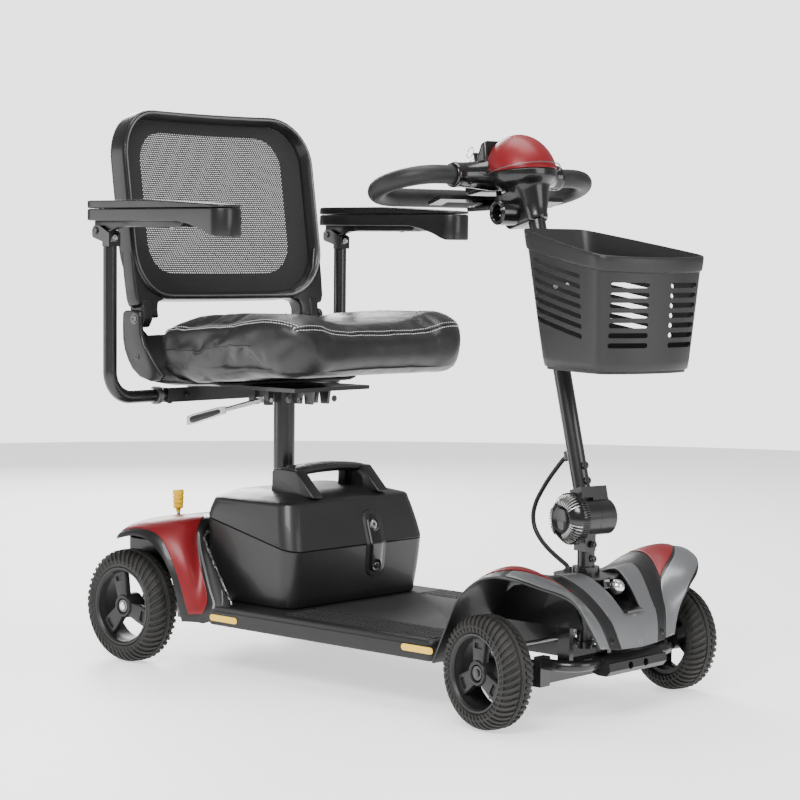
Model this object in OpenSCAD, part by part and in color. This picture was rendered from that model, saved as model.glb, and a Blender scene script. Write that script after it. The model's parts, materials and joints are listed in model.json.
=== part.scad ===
// Four-wheel travel mobility scooter. Millimetres, +X forward, +Y left, +Z up.
// Inside the file, x = 0 is midway between the axles; the last shift puts x = 0 at
// the middle of the whole machine.

/* [Wheels] */
// Radius of the two front tires
front_wheel_r = 88.9; // [86:0.1:90]
// Radius of the two rear tires
rear_wheel_r = 100; // [98:1:101]
// Width of each tire
tire_w = 57; // [52:1:57]
// Distance between the front and rear axles
wheelbase = 827; // [824:1:830]
// Distance from the middle line to the middle of each wheel
half_track = 235.5; // [235:0.5:238]

/* [Steering] */
// Angle the wheels and tiller are turned at rest, negative to the right
rest_steer = -12; // [-14:1:0]
// Distance from the middle line to each steering knuckle
kingpin_y = 205; // [204:1:205]
// Length of the steering arms
arm_l = 34; // [32:1:34]
// Backward lean of the tiller tube
tiller_lean = 16; // [14:1:17]
// Height of the tiller's tilt pivot
pivot_z = 308; // [306:1:312]
// Radius of the tiller tube
tiller_r = 14; // [13.5:0.5:14]
// Height of the hand loop along the tiller tube
loop_u = 586; // [580:1:590]
// Half width of the hand loop's middle line
loop_half = 203; // [195:1:205]
// Corner radius of the hand loop's middle line
loop_r = 65; // [60:1:66]
// Radius of the hand loop's tube
grip_r = 15.5; // [14:0.5:16]

/* [Deck and body] */
// Half width of the deck
deck_half = 215; // [212:1:215]
// Height of the deck's lower edge
deck_low = 83.5; // [82:0.5:84]
// Height of the deck's upper face
deck_top = 118; // [117:0.5:118]
// Wall thickness of the body covers
skin = 4; // [3:0.5:4]

/* [Seat] */
// Place of the seat post, back from the middle
post_x = -270; // [-270:1:-268]
// Radius of the seat post
post_r = 19; // [18:0.5:19]
// Height of the backrest's hinge
back_pivot_z = 606; // [604:1:608]
// Top of the backrest
back_top = 979; // [970:1:985]
// Half width of the backrest
back_half = 237; // [232:1:237]
// Distance from the middle line to each armrest
arm_y = 289; // [287:1:295]

/* [Hidden] */

$fn = 48;
steer_x = wheelbase / 2;
rear_x = -wheelbase / 2;
basket_arc_r = 182.5;
basket_arc_h = -5.5;
front_reach = steer_x + basket_arc_h * cos(rest_steer) + basket_arc_r;
center_x = (front_reach + rear_x - rear_wheel_r) / 2;
run = 0.05;        // running clearance of a shaft in its hole
gap = 0.4;         // clearance between faces that move past each other
wheel_shaft_r = 8;
kingpin_r = 6;
stem_r = 17;
dust_plate_r = 52;
pitman_z = [104, 110];
rod_z = [110, 119];   // underside of the right and the left tie rod
rod_t = 8;
knob_r = 42;
pivot_r = 29;
back_pivot_x = -413;
arm_pivot = [-433, 760];
arm_tube_r = 12;
arm_slide_r = 11;
slide_z = 470;
slide_x = -410;
swivel_pin_r = 12;
handle_half = 85;

// The cable's route in the steered frame: forward, left, up
cable_r = 3.75;
cable_route = [
    [-51, 0, 402], [-62, 0, 394], [-77, 0, 380], [-95, 0, 362], [-112, 0, 342],
    [-127, 0, 321], [-134, 0, 300], [-131, 0, 281], [-118, 0, 264], [-99, 0, 250],
    [-78, 0, 239], [-60, 0, 231], [-47, 0, 225], [-42, 0, 216.4]];

module placed() translate([-center_x, 0, 0]) children();
// Turns with the steering: x forward and y left of the steering axis
module steered() placed() translate([steer_x, 0, 0]) rotate([0, 0, rest_steer]) children();
// Leans with the tiller: z runs up the tube from the tilt pivot
module leaned() steered() translate([0, 0, pivot_z]) rotate([0, -tiller_lean, 0]) children();
// Mirrors a right-hand piece to the left when side is 1
module sided(side) if (side > 0) mirror([0, 1, 0]) children(); else children();

module along_y(r, y0, y1) translate([0, y0, 0]) rotate([-90, 0, 0]) cylinder(r = r, h = y1 - y0);
module along_x(r, x0, x1) translate([x0, 0, 0]) rotate([0, 90, 0]) cylinder(r = r, h = x1 - x0);
module block(x0, x1, y0, y1, z0, z1) translate([x0, y0, z0]) cube([x1 - x0, y1 - y0, z1 - z0]);
// A side view outline, given as x and z, drawn out from y0 to y1
module side_view(outline, y0, y1)
    translate([0, y1, 0]) rotate([90, 0, 0]) linear_extrude(height = y1 - y0) polygon(outline);

// ---- Wheels ----
module tire(r, bead) difference() {
    rotate([90, 0, 0]) rotate_extrude($fn = 96) {
        translate([bead, -tire_w / 2 + 10]) square([r - bead - 2, tire_w - 20]);
        translate([bead, -tire_w / 2]) square([r - bead - 22, tire_w]);
        translate([r - 22, -tire_w / 2 + 20]) circle(r = 20, $fn = 48);
        translate([r - 22, tire_w / 2 - 20]) circle(r = 20, $fn = 48);
        translate([r - 8, -13]) square([8, 26]);
    }
    // Seat of the rim, which the rounded shoulders would otherwise reach into
    along_y(bead, -tire_w, tire_w);
}

// Outer face at negative y; the hub hole runs along y
module rim(bead, turn) difference() {
    union() {
        difference() {
            along_y(bead, -22, 22);
            along_y(bead - 7, -23, 23);
        }
        along_y(20, -19.6, 11);
        for (k = [0 : 2]) rotate([0, turn + 120 * k, 0])
            block(-15, 15, -18.4, -9, 15, bead - 5);
    }
    along_y(wheel_shaft_r + run, -40, 40);
    along_y(13, -25, -12);
    for (k = [0 : 2]) rotate([0, turn + 120 * k, 0])
        block(-9, 9, -20, -14, bead - 21, bead - 12);
}

module front_wheel_place(side) placed() translate([steer_x, side * kingpin_y, 0])
    rotate([0, 0, rest_steer]) translate([0, side * (half_track - kingpin_y), front_wheel_r])
        mirror([0, side > 0 ? 1 : 0, 0]) children();
module rear_wheel_place(side) placed() translate([rear_x, side * half_track, rear_wheel_r])
    mirror([0, side > 0 ? 1 : 0, 0]) children();

front_bead = front_wheel_r - 27.6;
rear_bead = rear_wheel_r - 31.2;
module front_tire(side) color("#23221f") front_wheel_place(side) tire(front_wheel_r, front_bead);
module front_rim(side) color("#2b2b2a") front_wheel_place(side) rim(front_bead, 0);
module rear_tire(side) color("#23221f") rear_wheel_place(side) tire(rear_wheel_r, rear_bead);
module rear_rim(side) color("#2b2b2a") rear_wheel_place(side) rim(rear_bead, -14);
module front_tire_right() front_tire(-1);
module front_tire_left() front_tire(1);
module front_rim_right() front_rim(-1);
module front_rim_left() front_rim(1);
module rear_tire_right() rear_tire(-1);
module rear_tire_left() rear_tire(1);
module rear_rim_right() rear_rim(-1);
module rear_rim_left() rear_rim(1);

// ---- Chassis ----
rail_y = 90;
receiver_r = 23;
axle_tube_r = 25;
axle_beam_z = [57, 82];
module main_frame() color("#1d1d1c") placed() difference() {
    union() {
        for (s = [-1, 1]) {
            block(-440, 400, s * rail_y - 12, s * rail_y + 12, 60, deck_low);
            translate([rear_x, s * rail_y, 0]) block(-26, 36, -12, 12, 60, rear_wheel_r);
            translate([steer_x, s * kingpin_y, axle_beam_z[0]]) cylinder(r = 11, h = 25);
        }
        block(-300, -240, -78, 78, 60, 82);
        block(180, 204, -78, 78, 60, 82);
        translate([steer_x, 0, 0]) block(-14, 14, -kingpin_y, kingpin_y, axle_beam_z[0], axle_beam_z[1]);
        translate([post_x, 0, 60]) cylinder(r = receiver_r, h = 240);
        // Arch that carries the steering head over the pitman arm
        for (s = [-1, 1]) translate([steer_x, 0, 0]) block(-12, 12, s * 50 - 5, s * 50 + 5, 80, 165);
        translate([steer_x, 0, 0]) block(-12, 12, -55, 55, 155, 165);
        translate([steer_x, 0, 140]) cylinder(r = 23, h = 55);
    }
    translate([rear_x, 0, rear_wheel_r]) along_y(axle_tube_r, -190, 190);
    translate([post_x, 0, 59]) cylinder(r = post_r + run, h = 260);
    translate([steer_x, 0, 130]) cylinder(r = stem_r + run, h = 80);
    for (s = [-1, 1]) translate([steer_x, s * kingpin_y, 50]) cylinder(r = kingpin_r + run, h = 40);
}

module floor_pan() color("#1f1f1e") placed() {
    block(-241, 277, -deck_half + 6, deck_half - 6, deck_top - 14, deck_top);
    for (s = [-1, 1])
        side_view([[-241, deck_low], [277, deck_low], [277, deck_top], [-241, deck_top]],
            s * (deck_half - 3) - 3, s * (deck_half - 3) + 3);
    for (x = [-241, 271]) block(x, x + 6, -deck_half + 6, deck_half - 6, deck_low, deck_top - 14);
    // Tongue that runs up to the nose
    block(277, 299, -140, 140, deck_top - 14, deck_top);
}

module foot_mat() color("#2a2a29") placed() block(-70, 268, -200, 200, deck_top, deck_top + 3);

module reflectors() color("#ffd90a") placed() for (s = [-1, 1]) {
    for (x = [211, -233])
        translate([x + 34, s * (deck_half + 1), 99]) rotate([90, 0, 0]) {
            translate([0, 0, -1]) linear_extrude(height = 2) square([56, 11], center = true);
            for (e = [-1, 1]) translate([e * 28, 0, -1]) cylinder(r = 5.5, h = 2);
        }
}

nose_half = 125;
nose_outline = [[300, 92], [306, 120], [325, 165], [345, 195], [365, 210], [445, 212],
    [480, 204], [503, 180], [517, 150], [522, 116], [519, 95]];
nose_inside = [[304, 90], [310, 119], [328, 162], [348, 191], [367, 206], [443, 208],
    [478, 200], [499, 178], [513, 149], [518, 116], [515, 90]];
module nose_recess(grow) side_view([[430, 188 - grow], [470, 180 - grow], [505, 172 - grow],
    [540, 172 - grow], [540, 260], [430, 260]], -24 - grow, 24 + grow);
module nose_cover() color("#1e1e1d") placed() difference() {
    union() {
        difference() {
            side_view(nose_outline, -nose_half, nose_half);
            side_view(nose_inside, -nose_half + skin, nose_half - skin);
            // The side walls stay above the steering rods
            for (s = [-1, 1]) block(300, 505, s * nose_half - 10, s * nose_half + 10, 80, 150);
        }
        intersection() {
            nose_recess(skin);
            side_view(nose_outline, -40, 40);
        }
    }
    nose_recess(0);
    translate([steer_x, 0, 150]) cylinder(r = 47, h = 80);
}

module nose_panel() color("#8d8f92") placed() difference() {
    side_view([[446, 212], [480, 204], [503, 180], [517, 150], [522, 116], [519, 95], [522, 94.5],
        [525, 116], [520, 151], [505.5, 182], [481.5, 207], [446, 215]], -92, 92);
    nose_recess(skin);
    // Clear of the dust plate that turns with the stem
    translate([steer_x, 0, 190]) cylinder(r = dust_plate_r + 1, h = 40);
}

fender_line = [[302, 91], [329, 150], [351, 194], [386, 226], [420, 238], [452, 236], [481, 226], [505, 208]];
fender_under = [[502, 204], [479, 222], [451, 232], [421, 234], [388, 222.5], [353.5, 192.5], [330.8, 149], [303.8, 91]];
module front_fender(side) color("#2f3031") placed() sided(side)
    side_view(concat(fender_line, fender_under), -245, -nose_half);
module front_fender_right() front_fender(-1);
module front_fender_left() front_fender(1);
module front_insert(side) color("#a8282c") placed() sided(side)
    side_view([[361, 203.3], [385.9, 226.1], [420, 238.1], [452, 236.1], [474, 228.6], [475, 231],
        [452, 238.5], [420, 240.5], [385, 228.5], [359.5, 205.5]], -222, -150);
module front_insert_right() front_insert(-1);
module front_insert_left() front_insert(1);

// U-shaped tube in front of the axle, its legs let into the frame's ends
bumper_z = 93;
module bumper_tube() color("#171716") placed() translate([0, 0, bumper_z]) {
    translate([497, 0, 0]) along_y(9, -96, 96);
    for (s = [-1, 1]) {
        translate([457, s * 96, 0]) mirror([0, s < 0 ? 1 : 0, 0]) rotate_extrude(angle = 90)
            translate([40, 0]) circle(r = 9);
        translate([0, s * 136, 0]) along_x(9, 440, 457);
        block(steer_x + 14, steer_x + 28, s * 136 - 12, s * 136 + 12, axle_beam_z[0] - bumper_z, 11);
    }
}
module bumper_cover() color("#262625") placed() difference() {
    side_view([[499, 74], [514, 74], [521, 82], [519, 94.4], [514, 94.4], [506, 104], [490, 104], [484, 98], [484, 82], [490, 76]], -75, 75);
    translate([497, 0, bumper_z]) along_y(9, -80, 80);
    for (y = [-20, 20]) translate([0, y, 86]) along_x(6, 512, 530);
}

rear_outline = [[-461, 150], [-461, 218], [-440, 238], [-400, 252], [-330, 256], [-302, 252], [-302, 92],
    [-306, 92], [-306, 248.5], [-330, 252], [-399, 248], [-437.5, 235], [-457, 216], [-457, 150]];
rear_solid = [[-461, 150], [-461, 218], [-440, 238], [-400, 252], [-330, 256], [-302, 252], [-302, 150]];
rear_half = 203;
module rear_shroud() color("#1f1f1e") placed() difference() {
    union() {
        side_view(rear_outline, -rear_half + skin, rear_half - skin);
        for (s = [-1, 1]) {
            side_view(rear_solid, s * (rear_half - skin / 2) - skin / 2, s * (rear_half - skin / 2) + skin / 2);
            // Fender over the wheel
            side_view([[-461, 210], [-461, 222], [-420, 240], [-370, 249], [-310, 247], [-288, 228],
                [-262, 175], [-242, 118], [-242, deck_low], [-281, deck_low], [-284, 98], [-302, 171],
                [-337, 217], [-380, 229], [-426, 221]],
                s * (rear_half + 27.5) - 27.5, s * (rear_half + 27.5) + 27.5);
            // Cheek beside the battery box
            side_view([[-302, deck_top], [-302, 240], [-286, 236], [-188, 126], [-186, deck_top]],
                s * 191 - 11, s * 191 + 11);
        }
        // Legs that stand on the frame rails
        for (s = [-1, 1]) block(-306, -302, s * rail_y - 12, s * rail_y + 12, deck_low, 92);
        // Ears that hold the freewheel lever under the slot
        for (s = [-1, 1]) block(-394, -378, -150 + s * 10.4 - 2, -150 + s * 10.4 + 2, 214, 249);
    }
    translate([-386, -150, 222]) along_y(4 + run, -20, 20);
    // Slot for the freewheel lever
    block(-414, -380, -156, -144, 230, 270);
}
module rear_panel(side) color("#a8282c") placed() sided(side)
    side_view([[-436, 233], [-420, 240], [-370, 249], [-310, 247], [-288, 228], [-262, 175], [-242, 118],
        [-239.5, 119], [-259.5, 176], [-285.5, 229.5], [-309, 250], [-370, 252], [-421, 243], [-437, 236]],
        -250, -rear_half - 3);
module rear_panel_right() rear_panel(-1);
module rear_panel_left() rear_panel(1);

module transaxle() color("#55585b") placed() translate([rear_x, 0, rear_wheel_r]) {
    along_y(axle_tube_r, -190, 190);
    along_y(48, 20, 75);
    for (s = [-1, 1]) {
        along_y(wheel_shaft_r, s > 0 ? 190 : -256, s > 0 ? 256 : -190);
        along_y(11, s > 0 ? 249.2 : -256, s > 0 ? 256 : -249.2);
    }
}
module drive_motor() color("#303132") placed() translate([rear_x + 62, 0, rear_wheel_r + 12]) {
    along_y(34, -66, 20);
    along_y(28, -76, -66);
}

// ---- Steering ----
module head_collar() color("#b9babb") placed() translate([steer_x, 0, 0]) difference() {
    union() {
        translate([0, 0, 195]) cylinder(r = 24, h = 15);
        block(18, 42, -7, 7, 198, 212);
    }
    translate([0, 0, 190]) cylinder(r = stem_r + run, h = 30);
    translate([0, 0, 205]) along_x(4 + run, 22, 50);
}
module lock_knob() color("#c3c4c5") placed() translate([steer_x, 0, 205]) {
    along_x(4, 24, 54);
    translate([62.5, 0, -2]) sphere(r = 12);
}
module steering_stem() color("#1b1b1a") steered() difference() {
    union() {
        translate([0, 0, 98]) cylinder(r = 13, h = 32);
        translate([0, 0, 130]) cylinder(r = stem_r, h = 84.4);
        translate([0, 0, pitman_z[0]]) cylinder(r = 16, h = pitman_z[1] - pitman_z[0]);
        block(-arm_l, 0, -8, 8, pitman_z[0], pitman_z[1]);
        translate([-arm_l, 0, pitman_z[0]]) cylinder(r = 8, h = pitman_z[1] - pitman_z[0]);
        translate([-arm_l, 0, pitman_z[1]]) cylinder(r = 4, h = 18);
        // Dust plate over the hole in the nose
        translate([0, 0, 214.4]) cylinder(r = dust_plate_r, h = 3.6);
        translate([0, 0, 218]) cylinder(r = 22, h = 12);
        translate([0, 0, 230]) cylinder(r = tiller_r, h = 48);
        block(-14, 14, -14, 8, 255, 300);
        translate([0, 0, pivot_z]) along_y(pivot_r, -22, 8);
        translate([0, 0, pivot_z]) along_y(8, 8, 44);
        translate([0, 0, pivot_z]) along_y(6, -40, -22);
        for (z = [243, 266]) translate([0, 0, z]) along_x(4, 10, 19);
    }
    // Hole where the cable goes down
    translate([-41, 0, 210]) cylinder(r = 8, h = 12);
}
module knuckle(side) color("#3a3b3c") placed() translate([steer_x, side * kingpin_y, 0])
    rotate([0, 0, rest_steer]) mirror([0, side > 0 ? 1 : 0, 0]) {
        translate([0, 0, 48]) cylinder(r = kingpin_r, h = 52);
        block(-12, 12, -18, 8, 44, 50);
        block(-12, 12, -18, 8, 88, 96);
        block(-12, 12, -18, -13, 44, 96);
        translate([0, 0, front_wheel_r]) along_y(wheel_shaft_r, -(half_track - kingpin_y) - 20.5, -13);
        translate([0, 0, front_wheel_r])
            along_y(11, -(half_track - kingpin_y) - 20.5, -(half_track - kingpin_y) - 13.7);
        block(-arm_l, 0, -7, 7, 96, rod_z[side > 0 ? 1 : 0] - 0.4);
        translate([-arm_l, 0, 96]) cylinder(r = 7, h = rod_z[side > 0 ? 1 : 0] - 96.4);
        translate([-arm_l, 0, 96]) cylinder(r = 4, h = rod_z[side > 0 ? 1 : 0] - 96 + rod_t + 2);
    }
module knuckle_right() knuckle(-1);
module knuckle_left() knuckle(1);
// Each rod stays parallel to the axle, between the pitman pin and its knuckle's pin
module tie_rod(side) color("#8f9193") placed()
    translate([steer_x - arm_l * cos(rest_steer), -arm_l * sin(rest_steer), rod_z[side > 0 ? 1 : 0] + 0.4])
        mirror([0, side > 0 ? 1 : 0, 0]) difference() {
            union() {
                cylinder(r = 7.5, h = rod_t - 0.8);
                translate([0, -kingpin_y, 0]) cylinder(r = 7.5, h = rod_t - 0.8);
                translate([0, 0, rod_t / 2 - 0.4]) along_y(3.4, -kingpin_y + 6, -6);
            }
            cylinder(r = 4 + run, h = 30, center = true);
            translate([0, -kingpin_y, 0]) cylinder(r = 4.5, h = 30, center = true);
        }
module tie_rod_right() tie_rod(-1);
module tie_rod_left() tie_rod(1);

// ---- Tiller ----
tube_top = 540;
module tiller_tube() color("#191918") leaned() difference() {
    union() {
        translate([0, 0, 34]) cylinder(r = tiller_r, h = tube_top - 34);
        block(-14, 14, -14, 40, 30, 48);
        block(-14, 14, 8 + gap, 40, 0, 48);
        along_y(pivot_r, 8 + gap, 40);
        for (u = [57, 82]) translate([0, 0, u]) along_x(4, 10, 19);
        // Clip that holds the cable
        block(-22, -10, -6, 6, 98, 112);
    }
    along_y(8 + run, 0, 60);
}
module tilt_knob() color("#1c1c1b") steered() translate([0, 0, pivot_z]) difference() {
    union() {
        along_y(knob_r, -44, -22 - gap);
        along_y(30, -56, -44);
    }
    along_y(6 + run, -40.5, 0);
}

// A tube swept through points in one upright plane
function unit(v) = v / norm(v);
function heading(p, i) = unit(p[min(i + 1, len(p) - 1)] - p[max(i - 1, 0)]);
module swept_tube(p, r, sides) polyhedron(
    points = [for (i = [0 : len(p) - 1], k = [0 : sides - 1])
        let (t = heading(p, i), a = 360 * k / sides, n = cross(t, [0, 1, 0]))
            p[i] + r * (cos(a) * n + sin(a) * [0, 1, 0])],
    faces = concat(
        [[for (k = [0 : sides - 1]) k]],
        [for (i = [0 : len(p) - 2], k = [0 : sides - 1])
            [i * sides + k, (i + 1) * sides + k, (i + 1) * sides + (k + 1) % sides, i * sides + (k + 1) % sides]],
        [[for (k = [sides - 1 : -1 : 0]) (len(p) - 1) * sides + k]]));
module tiller_cable() color("#1a1a1a") steered() swept_tube(cable_route, cable_r, 8);

module hand_loop() color("#2d2d2c") leaned() translate([-125, 0, loop_u]) {
    for (a = [-loop_r, loop_r]) translate([a, 0, 0]) along_y(grip_r, -loop_half + loop_r, loop_half - loop_r);
    for (s = [-1, 1]) translate([0, s * (loop_half - loop_r), 0])
        rotate([0, 0, s > 0 ? 0 : 180]) rotate_extrude(angle = 180) translate([loop_r, 0]) circle(r = grip_r);
}

module control_head() color("#222221") leaned() difference() {
    union() {
        translate([0, 0, 498]) cylinder(r1 = 19, r2 = 42, h = 58);
        translate([-15, 0, 556]) cylinder(r = 62, h = 21);
        translate([-60, 0, loop_u]) along_y(24, -100, 100);
        block(-108, -60, -48, 48, 572, 604);
        // Round socket for the charger lead
        translate([-25, 0, 512]) along_y(19, -52, -18);
        block(-42, -8, -30, 4, 500, 556);
    }
    translate([0, 0, 490]) cylinder(r = tiller_r, h = tube_top - 490);
    translate([-60, 0, loop_u]) along_y(grip_r, -120, 120);
    translate([-25, 0, 512]) along_y(13, -60, -32);
    // Room for the dome, for the throttle's crossbar and for the switches
    translate([-15, 0, 578]) intersection() { sphere(r = 65); block(-40, 70, -70, 70, -1, 70); }
    translate([-88, -26, 590]) cylinder(r = 6 + run, h = 20);
    translate([-88, 0, 594]) cylinder(r = 7 + run, h = 20);
    translate([-88, 28, 596]) cylinder(r = 8 + run, h = 20);
    translate([-84, 0, 565]) cylinder(r = 5 + run, h = 20);
}
module head_cover() color("#a8282c") leaned() translate([-15, 0, 578]) difference() {
    sphere(r = 65);
    block(-80, 80, -80, 80, -80, -1);
    block(-80, -40, -80, 80, -80, 80);
    sphere(r = 60);
    translate([-45, 0, loop_u - 578]) along_y(24, -100, 100);
}
module throttle_lever() color("#1a1a19") leaned() {
    block(-92, -76, -130, 130, 549, 556);
    translate([-84, 0, 550]) cylinder(r = 5, h = 30);
    for (s = [-1, 1]) block(-110, -76, s * 117 - 13, s * 117 + 13, 549, 555);
}
module ignition_key() color("#2a2a29") leaned() translate([-88, -26, 0]) {
    translate([0, 0, 591]) cylinder(r = 6, h = 16);
    block(-2, 2, -10, 10, 607, 634);
}
module speed_dial() color("#3c3c3b") leaned() translate([-88, 0, 0]) {
    translate([0, 0, 595]) cylinder(r = 7, h = 10);
    translate([0, 0, 605]) cylinder(r = 11, h = 9);
}
module horn_button() color("#c9a227") leaned() translate([-88, 28, 600]) cylinder(r = 8, h = 9);

// ---- Basket ----
basket_low = 550;
function arc_side(h_rear, half_rear, h_corner, half_corner, center_h, r) = concat(
    [[h_rear, -half_rear]],
    [for (a = [-half_corner : half_corner / 4 : half_corner]) [center_h + sqrt(r * r - a * a), a]],
    [[h_rear, half_rear]]);
rim_outline = arc_side(-95, 64, 0, 110, basket_arc_h, basket_arc_r);
base_outline = arc_side(-45, 60, 0, 92, -28, basket_arc_r - 5);
rim_slope = atan((768 - 722) / 272);
// Forward and up are counted from the rim's rear edge and run along the sloping rim
module rim_plane() translate([-95, 0, 768]) rotate([0, rim_slope, 0]) children();
module basket_body(inset, low, rise) hull() {
    translate([0, 0, low]) linear_extrude(height = 0.5) offset(delta = -inset) polygon(base_outline);
    rim_plane() translate([95, 0, rise - 0.5])
        linear_extrude(height = 0.5) offset(delta = -inset) polygon(rim_outline);
}
module basket_slots() {
    // Seven slots a group: two groups across the front, one on each side
    for (k = [0 : 6], s = [-1, 1]) {
        rotate([0, 0, s * 16.6]) block(110, 220, -35, 35, 580 + 16 * k, 588 + 16 * k);
        rim_plane() block(62, 186, s * 95 - 40, s * 95 + 40, -48 - 16 * k, -40 - 16 * k);
    }
}
module basket() color("#2a2a29") steered() difference() {
    basket_body(0, basket_low, 0);
    basket_body(3.2, basket_low + 4, 6);
    basket_slots();
}
module basket_bracket() color("#232322") difference() {
    leaned() difference() {
        union() for (u = [290, 430]) {
            translate([0, 0, u]) cylinder(r = 19, h = 24);
            block(0, 46, -16, 16, u, u + 24);
        }
        translate([0, 0, 280]) cylinder(r = tiller_r, h = 190);
    }
    steered() basket_body(0, basket_low, 0);
    // Nothing reaches into or past the basket's rear wall
    steered() block(-30, 100, -40, 40, 500, 900);
}

// ---- Battery box ----
// Half-round corners on a rectangle from x0 to x1 and to half_y each way
function soft_rect(x0, x1, half_y, r) = [for (c = [[x1 - r, half_y - r, 0], [x0 + r, half_y - r, 90],
    [x0 + r, r - half_y, 180], [x1 - r, r - half_y, 270]], k = [0 : 5])
        [c[0] + r * cos(c[2] + 18 * k), c[1] + r * sin(c[2] + 18 * k)]];
box_rear = -299;
seam_tilt = atan(49 / 219);
module sheet_at(x0, x1, half_y, r) linear_extrude(height = 0.2) polygon(soft_rect(x0, x1, half_y, r));
module seam_sheet() translate([-77.5, 0, 217]) rotate([0, seam_tilt, 0]) translate([77.5, 0, -0.2])
    sheet_at(-77.5 - 221.5 / cos(seam_tilt), -77.5, 173.5, 30);
module post_notch() block(box_rear - 5, -243, -27, 27, 100, 340);
module battery_tub() color("#2b2b2b") placed() difference() {
    hull() {
        translate([0, 0, deck_top + gap]) sheet_at(box_rear, -89.5, 165.5, 28);
        seam_sheet();
    }
    post_notch();
    translate([-92, 37, 176]) along_x(9, -8, 30);
}
module battery_lid() color("#2e2e2e") placed() difference() {
    union() {
        hull() {
            translate([0, 0, 0.2 / cos(seam_tilt)]) seam_sheet();
            translate([0, 0, 296.8]) sheet_at(box_rear, -98, 160, 32);
        }
        hull() {
            translate([0, 0, 297]) sheet_at(box_rear, -98, 160, 32);
            translate([0, 0, 309]) sheet_at(box_rear + 20, -135, 115, 26);
        }
    }
    post_notch();
    block(-205, -95, -handle_half - 14, -handle_half + 12, 303, 340);
    block(-205, -95, handle_half - 12, handle_half + 14, 303, 340);
}
module battery_handle() color("#262626") placed() {
    for (s = [-1, 1])
        side_view([[-201, 303], [-100, 303], [-104, 308], [-142, 350], [-198, 350], [-202, 344]],
            s * handle_half - (s > 0 ? 12 : 14), s * handle_half + (s > 0 ? 14 : 12));
    side_view([[-198, 336], [-152, 334], [-148, 350], [-197, 350]], -handle_half + 12, handle_half - 12);
}

// ---- Seat ----
module seat_post() color("#191918") placed() translate([post_x, 0, 0]) {
    translate([0, 0, 190]) cylinder(r = post_r, h = 268);
    translate([0, 0, 458]) cylinder(r = swivel_pin_r, h = 24);
}
module seat_base() color("#1d1d1c") placed() difference() {
    union() {
        translate([post_x, 0, 458 + gap]) cylinder(r = 24, h = 26);
        block(slide_x - 13, -150, -95, 95, slide_z + 13, 490);
        translate([slide_x, 0, slide_z]) block(-13, 13, -165, 165, -13, 13);
        for (x = [-216, -188]) for (s = [-1, 1]) translate([0, s * 20, 0])
            side_view([[x - 12, 484], [x - 8, 458], [x + 8, 458], [x + 12, 484]], -3, 3);
        block(-300, -285, -60, -48, 455, 484);
        block(-262, -250, -60, -48, 455, 484);
    }
    translate([post_x, 0, 455]) cylinder(r = swivel_pin_r + run, h = 28);
    translate([slide_x, 0, slide_z]) along_y(arm_slide_r + run, -170, 170);
    translate([0, -54, 464]) along_x(4 + run, -310, -240);
}
module swivel_lever() color("#b4b5b6") placed() {
    translate([0, -54, 464]) along_x(4, -300, -249);
    block(-284.6, -262.4, -58, -50, 458, 468);
    hull() {
        translate([-273, -57, 463]) cube([14, 4, 6], center = true);
        translate([-299, -128, 446]) cube([10, 4, 5], center = true);
    }
    hull() {
        translate([-297, -124, 447]) rotate([0, 0, 40]) cube([8, 16, 12], center = true);
        translate([-346, -160, 428]) rotate([0, 0, 40]) cube([8, 20, 15], center = true);
    }
}
shell_outline = [[-445, 618], [-445, 570], [-434, 535], [-412, 510], [-380, 496], [-345, 490], [-200, 490],
    [-60, 506], [-60, 512], [-200, 496], [-345, 496], [-376, 502], [-407, 515], [-428, 538], [-439, 571], [-439, 618]];
module seat_shell() color("#232323") placed() difference() {
    union() {
        difference() {
            side_view(shell_outline, -224, 224);
            block(-460, -380, -196, 196, 572, 640);
        }
        for (s = [-1, 1]) side_view([[-445, 618], [-445, 570], [-434, 535], [-412, 510], [-380, 502], [-352, 514],
            [-396, 560], [-401, 590], [-400, 618]], s * 227 - 4, s * 227 + 4);
        for (s = [-1, 1]) translate([back_pivot_x, 0, back_pivot_z]) along_y(6, s > 0 ? 205 : -231, s > 0 ? 231 : -205);
    }
}
cushion_side = [[-306, 497], [-345, 545], [-374, 586], [-340, 604], [-100, 622], [-30, 613], [-8, 590],
    [-10, 548], [-60, 530], [-173, 524]];
module seat_cushion() color("#2a2a2b") placed() intersection() {
    side_view(cushion_side, -235, 235);
    linear_extrude(height = 700) polygon(soft_rect(-390, -8, 235, 40));
}

// ---- Backrest ----
function loop_pts(half, low, top, r, n) = [for (c = [[half - r, top - r, 0], [r - half, top - r, 90],
    [r - half, low + r, 180], [half - r, low + r, 270]], k = [0 : n])
        [c[0] + r * cos(c[2] + 90 * k / n), c[1] + r * sin(c[2] + 90 * k / n)]];
back_lean = atan(46 / 320);
module back_plane() placed() translate([-434, 0, 640]) rotate([0, -back_lean, 0]) rotate([90, 0, 90]) children();
module back_lug(s) side_view([[-458, 690], [-452, 640], [-410, 642], [-420, 690]], s * 215 - 7, s * 215 + 7);
module back_frame() color("#2c2d2e") {
    back_plane() translate([0, 0, -22]) linear_extrude(height = 40) difference() {
        polygon(loop_pts(back_half, -4, (back_top - 640) / cos(back_lean) - 4, 75, 6));
        polygon(loop_pts(back_half - 16, 12, (back_top - 640) / cos(back_lean) - 20, 62, 6));
    }
    placed() for (s = [-1, 1]) {
        difference() {
            union() {
                side_view([[-452, 640], [-428, 600], [-421, 592], [-403, 594], [-399, 612], [-410, 642]],
                    s * 210 - 12, s * 210 + 12);
                back_lug(s);
            }
            translate([back_pivot_x, 0, back_pivot_z]) along_y(6 + run, s > 0 ? 190 : -240, s > 0 ? 240 : -190);
        }
    }
}
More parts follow.
